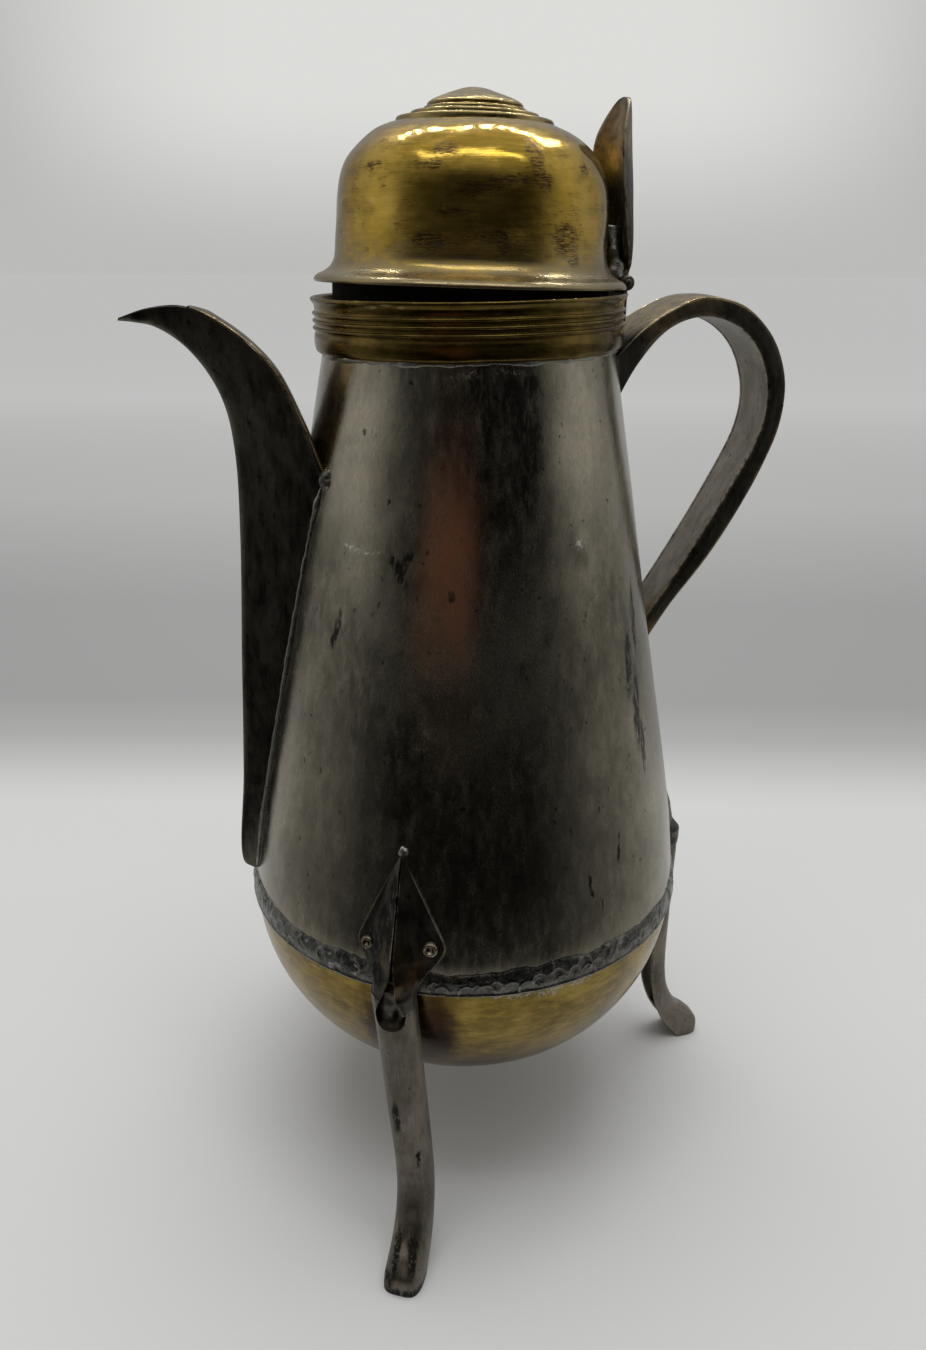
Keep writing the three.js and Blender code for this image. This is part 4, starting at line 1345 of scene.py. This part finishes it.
def brass_metal(name, dark, light, rough=0.26, flecks=1.0, flange=0.0, marks=(), pale=(), edge=0.0,
                lathe=1.0, stains_and_painted_light=()):
    """Aged brass, turned on a lathe: olive gold with flecks of tarnish in level rows."""
    g = Graph(name)
    cloud = g.noise(0.06, 4, 0.6, 0.5)
    mottle = g.noise(0.4, 5, 0.6, stretch=(0.5, 0.5, 1.6))
    turn = g.noise(2.4, 4, 0.65, stretch=(0.045, 0.045, 1.3))
    tone = g.weighed(cloud, 0.5, mottle, 0.5)
    colour = g.mix(g.ramp(tone, 0.36, 0.64), dark, light)
    colour = g.greyed(colour, g.ramp(turn, 0.34, 0.68, 1 - 0.14 * lathe, 1 + 0.08 * lathe))
    if flecks:
        dashes = g.noise(1.5, 8, 0.78, stretch=(0.30, 0.30, 2.8))
        where = g.noise(0.12, 3, 0.6, stretch=(1, 1, 1.5), shift=(3.5, 1.2, 7))
        amount = g.times(g.ramp(dashes, 0.545, 0.60), g.ramp(where, 0.47, 0.60))
        haze = g.times(g.ramp(where, 0.44, 0.66), 0.35 * flecks)
        colour = g.mix(haze, colour, [0.45 * c for c in dark])
        if marks:
            tarnish = g.times(g.spots(marks, 3.0, 0.8, (2, 2, 2)), g.ramp(dashes, 0.46, 0.51))
            amount = g.math("MAXIMUM", amount, tarnish)
        cover = g.times(amount, min(1.0, 0.9 * flecks))
        colour = g.mix(cover, colour, (0.035, 0.015, 0.014))
    if pale:
        broken = g.ramp(g.noise(1.4, 5, 0.7), 0.47, 0.56)
        share = g.times(g.times(g.spots(pale, 2.4, 1.1, (1, 9, 4)), broken), 0.7)
        colour = g.mix(share, colour, (0.40, 0.40, 0.36))
    if flange:
        wave = g.math("MULTIPLY_ADD", g.math("SUBTRACT", mottle, 0.5), 16.0, g.xyz()[2])
        dull = g.ramp(wave, 247.5, 258.0, flange, 0.0)
        colour = g.mix(dull, colour, (0.23, 0.19, 0.115))
    # Painted dark reflection of the front leg and painted shadow, on the bowl.
    if stains_and_painted_light:
        painted_reflection_and_shadow = g.spots(stains_and_painted_light, 6.0, 0.3, (4, 1, 6))
        colour = g.mix(g.times(painted_reflection_and_shadow, 0.93), colour, (0.022, 0.008, 0.006))
    if edge:
        worn = g.times(g.edges(), g.ramp(g.noise(0.6, 4, 0.6), 0.3, 0.6))
        colour = g.mix(g.times(worn, edge), colour, (0.55, 0.43, 0.20))
    roughness = g.ramp(g.weighed(mottle, 0.5, turn, 0.5), 0.3, 0.7, rough - 0.06, rough + 0.10)
    if flecks:
        roughness = g.math("ADD", roughness, g.times(cover, 0.25), clamp=True)
    if flange:
        roughness = g.math("MULTIPLY_ADD", dull, 0.14, roughness)
    normal = g.bump(g.weighed(turn, lathe, mottle, 1.4), 0.16, 0.00010)
    return g.done(colour, roughness, normal)


def solder_metal(name, dark, light, rough=0.36):
    """Dull lumpy solder with tide marks."""
    g = Graph(name)
    cloud = g.noise(0.25, 5, 0.65, 0.8)
    lumps = g.noise(0.9, 4, 0.6, 1.2)
    grain = g.noise(4.0, 4, 0.6)
    rings = g.node("TexWave", Scale=0.35, Distortion=14.0, Detail=2.0, Vector=g.place)
    rings.wave_type = "RINGS"
    tone = g.weighed(cloud, 0.7, lumps, 0.3)
    colour = g.mix(g.ramp(tone, 0.38, 0.62), dark, light)
    colour = g.mix(g.times(g.edges(0.50, 0.56), 0.7), colour, (0.40, 0.40, 0.37))
    grime = g.edges(0.44, 0.495, 1.0, 0.0)
    colour = g.mix(g.times(grime, 0.8), colour, (0.030, 0.029, 0.026))
    roughness = g.ramp(lumps, 0.3, 0.7, rough - 0.06, rough + 0.14)
    height = g.math("ADD", lumps, g.times(rings.outputs[1], 0.25))
    normal = g.bump(height, 0.30, 0.0003)
    normal = g.bump(grain, 0.12, 0.0001, normal)
    return g.done(colour, roughness, normal)


def paint(material, *objects):
    for obj in objects:
        obj.data.materials.clear()
        obj.data.materials.append(material)


# Marks: angle, height, radius there, width, height of the mark, lean and, in some, softness.
BODY_MARKS = [
    (-90.1, 221.0, 38.6, 3.6, 9.5, 4), (-85.0, 214.0, 40.0, 2.6, 9.5, -4),
    (-87.6, 203.5, 42.0, 1.6, 6.5, 3), (-99.0, 217.0, 39.2, 2.0, 8.0, 4),
    (-84.0, 226.0, 37.8, 2.6, 3.0, 0), (-126.6, 184.9, 45.4, 1.4, 4.8, 28),
    (-124.4, 187.0, 45.0, 1.2, 3.4, -35),
    (-146.4, 169.7, 48.2, 1.0, 3.8, -10), (-147.4, 166.0, 48.9, 0.8, 2.6, -16),
    (-110.2, 180.1, 46.3, 1.05, 1.05, 0), (-131.5, 200.4, 42.5, 0.6, 0.6, 0),
    (-50.8, 158.0, 50.2, 1.7, 10.0, -8), (-48.4, 145.0, 52.6, 1.9, 11.0, -6),
    (-47.0, 134.0, 54.5, 1.4, 7.0, -4), (-44.5, 168.0, 48.5, 1.2, 9.0, -4),
    (-104.0, 226.5, 37.7, 1.6, 4.2, 12), (-100.4, 222.5, 38.4, 0.9, 5.5, -5),
    (-97.3, 97.5, 61.0, 0.9, 0.5, 0), (-69.6, 98.4, 60.8, 0.4, 1.6, -12),
    (-73.2, 105.0, 59.9, 0.4, 4.0, 12),
    (-63.0, 112.0, 58.8, 0.5, 4.0, -10), (-105.8, 129.4, 55.5, 1.2, 0.7, 0),
]
BODY_PALE = [
    (-143.0, 188.6, 44.7, 3.4, 0.5, -12), (-137.0, 188.3, 44.7, 3.8, 0.35, 8),
    (-69.8, 190.3, 44.5, 1.2, 1.2, 0), (-123.4, 147.8, 52.2, 2.6, 0.4, 30),
    (-115.2, 147.0, 52.3, 2.4, 0.5, -35), (-118, 143.5, 53.0, 3.2, 0.35, 10),
    (-105.6, 228.8, 37.4, 5.2, 0.8, 8), (-92.0, 229.5, 37.3, 4.0, 0.7, -6),
    (-121.4, 118.8, 57.5, 1.6, 1.2, 0),
]
# Painted reflection: a reddish-brown patch on the side of the body facing the camera.
BODY_PAINTED_REFLECTION = [(-108.6, 206.0, 41.6, 4.4, 19.0, 4), (-108.0, 186.0, 45.0, 4.6, 12.0, 0),
               (-107.7, 172.0, 47.7, 3.6, 7.0, 0)]
LID_MARKS = [
    (-116.7, 274.3, 28.6, 3.0, 1.6, 0), (-122.9, 271.3, 30.8, 3.4, 0.9, 0),
    (-102.6, 266.5, 32.2, 5.5, 1.6, 0), (-79.5, 273.0, 29.6, 2.0, 4.2, 0),
    (-78.0, 268.6, 31.8, 3.0, 1.6, 0), (-98.7, 257.8, 33.0, 3.6, 0.9, 0),
    (-93.5, 255.6, 33.1, 1.6, 2.8, 0), (-66.5, 256.8, 33.0, 3.8, 3.4, 0),
    (-54.0, 271.3, 30.8, 1.6, 1.3, 0), (-90.0, 268.5, 31.6, 6.0, 1.0, 0),
    (-112.0, 262.0, 32.8, 5.0, 1.0, 0), (-121.3, 256.4, 33.0, 4.6, 2.0, 0),
    (-149.7, 271.7, 30.6, 2.4, 1.0, 0), (-62.0, 252.5, 33.2, 2.0, 1.6, 0),
]
BOWL_PALE = [(-93.6, 79.2, 62.0, 5.5, 1.3, 0), (-84.7, 78.6, 61.8, 3.6, 2.0, 0),
             (-75.2, 79.2, 61.6, 5.0, 1.6, 12)]
BOWL_MARKS = [(-80.0, 71.0, 59.5, 1.4, 2.4, 0), (-138.0, 68.0, 58.0, 3.0, 1.6, 0),
              (-86.0, 74.5, 61.0, 2.6, 1.0, 0), (-100.0, 60.0, 52.0, 4.0, 2.0, 0)]

LEG_MARKS = [
    (-119.6, 46.0, 71.0, 1.2, 5.0, 4), (-115.0, 33.0, 71.0, 0.5, 2.6, 0),
    (-117.9, 9.0, 79.5, 0.9, 5.5, 4), (-114.9, 9.5, 79.2, 1.2, 4.6, 8),
    (-119.0, 3.6, 83.5, 1.6, 2.6, 0), (-116.0, 0.8, 84.6, 5.6, 1.7, 0),
]
SPADE_STAINS = [(-119.3, 91.0, 69.6, 2.4, 6.0, 6), (-123.0, 92.5, 69.2, 1.2, 5.0, 0),
                (-116.4, 88.5, 67.8, 2.2, 3.2, -20)]
SPADE_BLACKS = [(-123.4, 99.0, 65.5, 2.6, 7.5, 10), (-126.2, 93.5, 66.6, 2.6, 4.6, 12),
                (-124.4, 87.5, 67.5, 2.6, 3.0, 0), (-121.8, 108.0, 62.5, 1.2, 5.0, 6),
                (-117.0, 88.0, 67.0, 1.0, 4.2, -24)]
HANDLE_STAINS = [(0.0, 238.5, 48.5, 11.0, 8.0, 0), (0.0, 243.5, 60.0, 11.0, 5.0, 0),
                 (0.0, 152.0, 53.0, 8.0, 9.0, 0), (-8.0, 222.0, 86.0, 2.6, 14.0, 0)]
# Painted light on the thumb leaf's upper part.
LEAF_PAINTED_LIGHT = [(0.0, 281.0, 40.0, 11.0, 7.5, 0)]
# Painted shade on the thumb leaf's lower part, under the lid.
LEAF_PAINTED_SHADE = [(0.0, 256.0, 42.0, 9.5, 14.0, 0, 0.5)]
LINER_STAINS = [(-4.0, 156.0, 52.0, 3.0, 6.0, 0)]
# Painted dark reflection of the front leg and painted shadow on the bowl.
BOWL_PAINTED_REFLECTION_AND_SHADOW = [(-112.5, 66.0, 59.0, 6.0, 19.0, 0, 0.6), (-116.5, 60.0, 55.0, 8.0, 12.0, 0, 0.6),
               (-129.0, 64.0, 58.0, 3.4, 14.0, 0, 0.7), (-98.0, 49.5, 45.0, 15.0, 4.0, 0, 0.7)]

# The body's patches are a painted reddish reflection.
tin_body = tinned_metal("tin_body", (0.190, 0.175, 0.135), (0.315, 0.285, 0.215), 0.20,
                        marks=BODY_MARKS, pale=BODY_PALE, stains_and_painted_light=BODY_PAINTED_REFLECTION, grain=0.7)
tin_leg = tinned_metal("tin_leg", (0.085, 0.076, 0.060), (0.205, 0.183, 0.146), 0.36, 0.5,
                       marks=LEG_MARKS, grain=1.8)
tin_dark = tinned_metal("tin_dark", (0.042, 0.040, 0.032), (0.150, 0.139, 0.110), 0.30, 0.8,
                        grain=1.4, grime=1.3)
tin_spade = tinned_metal("tin_spade", (0.036, 0.033, 0.027), (0.100, 0.092, 0.074), 0.34, 1.0,
                         marks=SPADE_BLACKS, stains_and_painted_light=SPADE_STAINS, grain=1.4, grime=1.5,
                         stain_and_painted_light_colour=(0.115, 0.070, 0.030), stain_and_painted_light_depth=0.75,
                         worn_colour=(0.46, 0.42, 0.34))
tin_handle = tinned_metal("tin_handle", (0.048, 0.045, 0.038), (0.120, 0.112, 0.090), 0.33, 1.0,
                          stains_and_painted_light=HANDLE_STAINS, grain=1.3, grime=1.4,
                          stain_and_painted_light_colour=(0.30, 0.225, 0.115), stain_and_painted_light_depth=0.95,
                          worn_colour=(0.42, 0.37, 0.27))
# The thumb leaf's patch colour is painted light and its dark mark is painted shade.
tin_leaf = tinned_metal("tin_leaf", (0.045, 0.041, 0.034), (0.115, 0.105, 0.085), 0.34, 0.7,
                        marks=LEAF_PAINTED_SHADE, stains_and_painted_light=LEAF_PAINTED_LIGHT, grain=1.2, grime=1.4,
                        stain_and_painted_light_colour=(0.33, 0.245, 0.145), stain_and_painted_light_depth=1.0,
                        worn_colour=(0.46, 0.38, 0.24))
tin_liner = tinned_metal("tin_liner", (0.160, 0.145, 0.115), (0.285, 0.260, 0.215), 0.33, 0.3,
                         stains_and_painted_light=LINER_STAINS, grime=1.3, stain_and_painted_light_colour=(0.22, 0.145, 0.050),
                         stain_and_painted_light_depth=0.9)
throat_metal = tinned_metal("throat_metal", (0.030, 0.028, 0.024), (0.150, 0.140, 0.115), 0.42, 0.5,
                            grime=1.5)
solder_dull = solder_metal("solder_dull", (0.065, 0.064, 0.058), (0.175, 0.170, 0.152), 0.27)
solder_root = solder_metal("solder_root", (0.055, 0.052, 0.044), (0.17, 0.16, 0.135), 0.32)
solder_bright = solder_metal("solder_bright", (0.16, 0.16, 0.15), (0.40, 0.40, 0.38), 0.30)
brass_lid = brass_metal("brass_lid", (0.31, 0.202, 0.028), (0.44, 0.292, 0.058), 0.135,
                        flange=0.9, marks=LID_MARKS, edge=0.15, lathe=0.8)
brass_cap = brass_metal("brass_cap", (0.21, 0.160, 0.060), (0.36, 0.275, 0.115), flecks=0.5,
                        edge=0.25, lathe=0.7)
# The bowl's dark patches are painted reflection and painted shadow.
brass_bowl = brass_metal("brass_bowl", (0.145, 0.100, 0.024), (0.34, 0.235, 0.055), 0.22, 0.5,
                         marks=BOWL_MARKS, pale=BOWL_PALE, lathe=0.25, stains_and_painted_light=BOWL_PAINTED_REFLECTION_AND_SHADOW)
brass_collar = brass_metal("brass_collar", (0.070, 0.047, 0.011), (0.175, 0.118, 0.030), 0.24, 0.4,
                           edge=0.35, lathe=0.5)
brass_strip = brass_metal("brass_strip", (0.045, 0.034, 0.018), (0.14, 0.10, 0.045), 0.30, 0.5,
                          edge=1.0)
# Bright brass for worn edges; on the handle's folds it is also a painted highlight.
worn_brass_and_painted_highlight = brass_metal("worn_brass_and_painted_highlight", (0.26, 0.19, 0.085), (0.62, 0.50, 0.30), 0.28, 0.3)
# The inner ring is painted near black and unreflective: painted shade in the gap between lid and
# collar.
painted_shade_ring = brass_metal("painted_shade_ring", (0.004, 0.0035, 0.002), (0.012, 0.010, 0.006), 0.75, 0.0)
for material, socket, value in ((brass_lid, "Metallic", 0.95), (painted_shade_ring, "Metallic", 0.0),
                                (painted_shade_ring, "Specular IOR Level", 0.05)):
    material.node_tree.nodes["Principled BSDF"].inputs[socket].default_value = value
rivet_metal = tinned_metal("rivet_metal", (0.12, 0.10, 0.07), (0.30, 0.26, 0.19), 0.28, 0.8)
hinge_metal = tinned_metal("hinge_metal", (0.020, 0.018, 0.015), (0.06, 0.055, 0.045), 0.4, 0.25)

paint(tin_body, pot_body)
paint(brass_bowl, bowl)
paint(solder_dull, band)
paint(solder_root, neck_solder, spout_bead, upper_solder, lower_solder, spout_blobs, lid_joint)
paint(solder_bright, spout_top_solder, *tips)
paint(brass_collar, collar)
paint(tin_dark, spout)
paint(tin_spade, *spades)
paint(tin_handle, strap)
paint(tin_leaf, leaf, lid_tongue)
paint(brass_strip, strip)
paint(tin_liner, liner)
paint(throat_metal, *throats)
paint(tin_leg, *leg_pieces)
paint(rivet_metal, *rivets)
paint(hinge_metal, hinge_leaf, knuckles, pin)
paint(brass_lid, dome)
paint(brass_cap, cap, button)
paint(painted_shade_ring, bezel)
paint(worn_brass_and_painted_highlight, strap_edges, strip_lips)


# ---------------------------------------------------------------- floor, light and surroundings
FORWARD = (math.sin(CAMERA_HEADING), math.cos(CAMERA_HEADING))


def along(right, forward, up):
    """A place given across, away from and above the pot, as the viewer sees it."""
    rx, ry = FORWARD[1], -FORWARD[0]
    return (right * rx + forward * FORWARD[0], right * ry + forward * FORWARD[1], up)


def flat_sheet(name, corners):
    data = bpy.data.meshes.new(name)
    data.from_pydata(corners, [], [(0, 1, 2, 3)])
    obj = bpy.data.objects.new(name, data)
    bpy.context.scene.collection.objects.link(obj)
    return obj


def hidden_from_view(obj):
    """Only mirror-like surfaces see this piece of the studio."""
    obj.visible_camera = False
    obj.visible_shadow = False
    obj.visible_diffuse = False


def square(half, z=0):
    return [(-half, -half, z), (half, -half, z), (half, half, z), (-half, half, z)]


def make_floor():
    """Level white floor: painted shade far behind the pot, where the real sheet bends up, and a
    painted glow.
    """
    floor = flat_sheet("floor", square(12.0))
    g = Graph("floor_painted_shade")
    place = g.ramp(g.along_floor(*FORWARD), 0.0, 2000.0, soft=False)
    colour = g.curve(place, [(0.0, 0.555), (0.09, 0.55), (0.102, 0.50), (0.128, 0.35),
                             (0.155, 0.29), (0.25, 0.28), (0.43, 0.36), (0.85, 0.42)])
    # Painted glow: the far floor shines without a lamp.
    glow = g.curve(place, [(0.0, 0.0), (0.15, 0.0), (0.25, 0.04), (0.43, 0.12), (0.85, 0.24),
                           (1.0, 0.24)])
    g.links.new(glow, g.shader.inputs["Emission Color"])
    g.shader.inputs["Emission Strength"].default_value = 1.0
    paint(g.done(colour, 0.8, metallic=0.0), floor)


def make_dark_room():
    """The open front of the tent: a dark floor that only the metal reflects."""
    card = flat_sheet("dark_front", square(4.0, 0.001))
    hidden_from_view(card)
    g = Graph("dark_front")
    front = g.along_floor(-FORWARD[0], -FORWARD[1])
    side = g.along_floor(FORWARD[1], -FORWARD[0])
    angle = g.math("ABSOLUTE", g.math("ARCTAN2", side, front))
    cover = g.curve(g.math("DIVIDE", angle, math.pi), [(0.0, 0.985), (0.20, 0.97), (0.29, 0.87),
                                                       (0.38, 0.66), (0.50, 0.40), (0.66, 0.0)])
    x, y, _ = g.xyz()
    reach = g.math("SQRT", g.math("ADD", g.times(x, x), g.times(y, y)))
    cover = g.times(cover, g.ramp(reach, 125.0, 230.0))
    g.done((0.0, 0.0, 0.0), 0.9, metallic=0.0)
    g.shader.inputs["Specular IOR Level"].default_value = 0.0
    paint(g.see_through(cover, g.shader.outputs[0]), card)


def make_warm_card():
    """A soft reddish-brown card beside the camera, whose reflection shows in the polished body."""
    corners = ((-0.18, 0.15), (0.05, 0.15), (0.05, 0.26), (-0.18, 0.26))
    card = flat_sheet("warm_card", [along(right, -0.30, up) for right, up in corners])
    hidden_from_view(card)
    g = Graph("warm_card")
    side = g.along_floor(FORWARD[1], -FORWARD[0])
    wide = g.times(g.ramp(side, -165.0, -125.0), g.ramp(side, 12.0, 34.0, 1.0, 0.0))
    up = g.xyz()[2]
    tall = g.times(g.ramp(up, 158.0, 184.0), g.ramp(up, 226.0, 256.0, 1.0, 0.0))
    glow = g.node("Emission", Color=(0.215, 0.108, 0.076))
    paint(g.see_through(g.times(wide, tall), glow.outputs[0]), card)


def make_world():
    """A white tent all round, open and dark at the front where the viewer stands."""
    world = bpy.data.worlds.new("tent")
    bpy.context.scene.world = world
    world.use_nodes = True
    g = Nodes(world.node_tree)
    view = g.node("TexCoord").outputs["Generated"]

    def facing(*direction):
        """How far the line of sight points in a direction."""
        return g.vector("DOT_PRODUCT", view, direction).outputs["Value"]

    front = facing(-FORWARD[0], -FORWARD[1], 0.0)
    side = facing(FORWARD[1], -FORWARD[0], 0.0)
    top = facing(0, 0, 1)
    turn = g.math("MULTIPLY_ADD", g.math("ARCTAN2", side, front), 0.5 / math.pi, 0.5)
    # Brightness by the angle round the pot, in degrees from the viewer.
    stops = [(-180, 0.33), (-140, 0.33), (-112, 0.52), (-90, 0.76), (-77, 0.66), (-64, 0.34),
             (-54, 0.13), (-43, 0.065), (-28, 0.035), (8, 0.008), (36, 0.006), (48, 0.03),
             (57, 0.11), (67, 0.34), (80, 0.62), (92, 0.72), (112, 0.52), (140, 0.32), (180, 0.33)]
    around = g.curve(turn, [(0.5 + d / 360, v) for d, v in stops])
    overhead = g.mix(g.ramp(front, -0.2, 0.7), (0.80, 0.80, 0.785), (0.58, 0.58, 0.565))
    seen = g.mix(g.ramp(top, 0.30, 0.85), around, overhead)
    # The camera sees its own backdrop: painted light, brightest straight ahead, flat grey below the
    # horizon.
    middle = facing(FORWARD[0], FORWARD[1], 0.15)
    glow = g.mix(g.ramp(middle, 0.90, 1.0), (0.40, 0.405, 0.39), (0.72, 0.725, 0.70))
    backdrop = g.mix(g.ramp(top, -0.02, 0.13), (0.50, 0.505, 0.49), glow)
    colour = g.mix(g.node("LightPath").outputs["Is Camera Ray"], seen, backdrop)
    sky = g.node("Background", Color=colour, Strength=1.0)
    g.node("OutputWorld", Surface=sky.outputs[0])


def area_light(name, place, target, size, size_y, power):
    data = bpy.data.lights.new(name, "AREA")
    data.shape = "RECTANGLE"
    data.size, data.size_y, data.energy = size, size_y, power
    light = bpy.data.objects.new(name, data)
    bpy.context.scene.collection.objects.link(light)
    light.location = place
    aim = Vector(target) - Vector(place)
    light.rotation_mode = "QUATERNION"
    light.rotation_quaternion = aim.to_track_quat("-Z", "Y")
    return light


make_floor()
make_dark_room()
make_warm_card()
make_world()
panel = area_light("top_panel", along(0.0, 0.1, 1.2), (0, 0, 0.1), 0.9, 0.9, 9.0)
panel.visible_glossy = False
area_light("front_bar", along(0.00, -0.22, 0.72), (0, 0, 0.2), 0.62, 0.050, 0.62)
LEDS, LED_PITCH, LED_SIZE, LED_POWER = 11, 0.055, 0.010, 0.15
for led in range(LEDS):
    place = along(-0.25 + LED_PITCH * led, 0.20, 0.70)
    lamp = area_light(f"led_{led}", place, (0, 0, 0.25), LED_SIZE, LED_SIZE, LED_POWER)
    lamp.visible_diffuse = False

scene = bpy.context.scene
scene.view_settings.view_transform = "Standard"
scene.view_settings.look = "None"
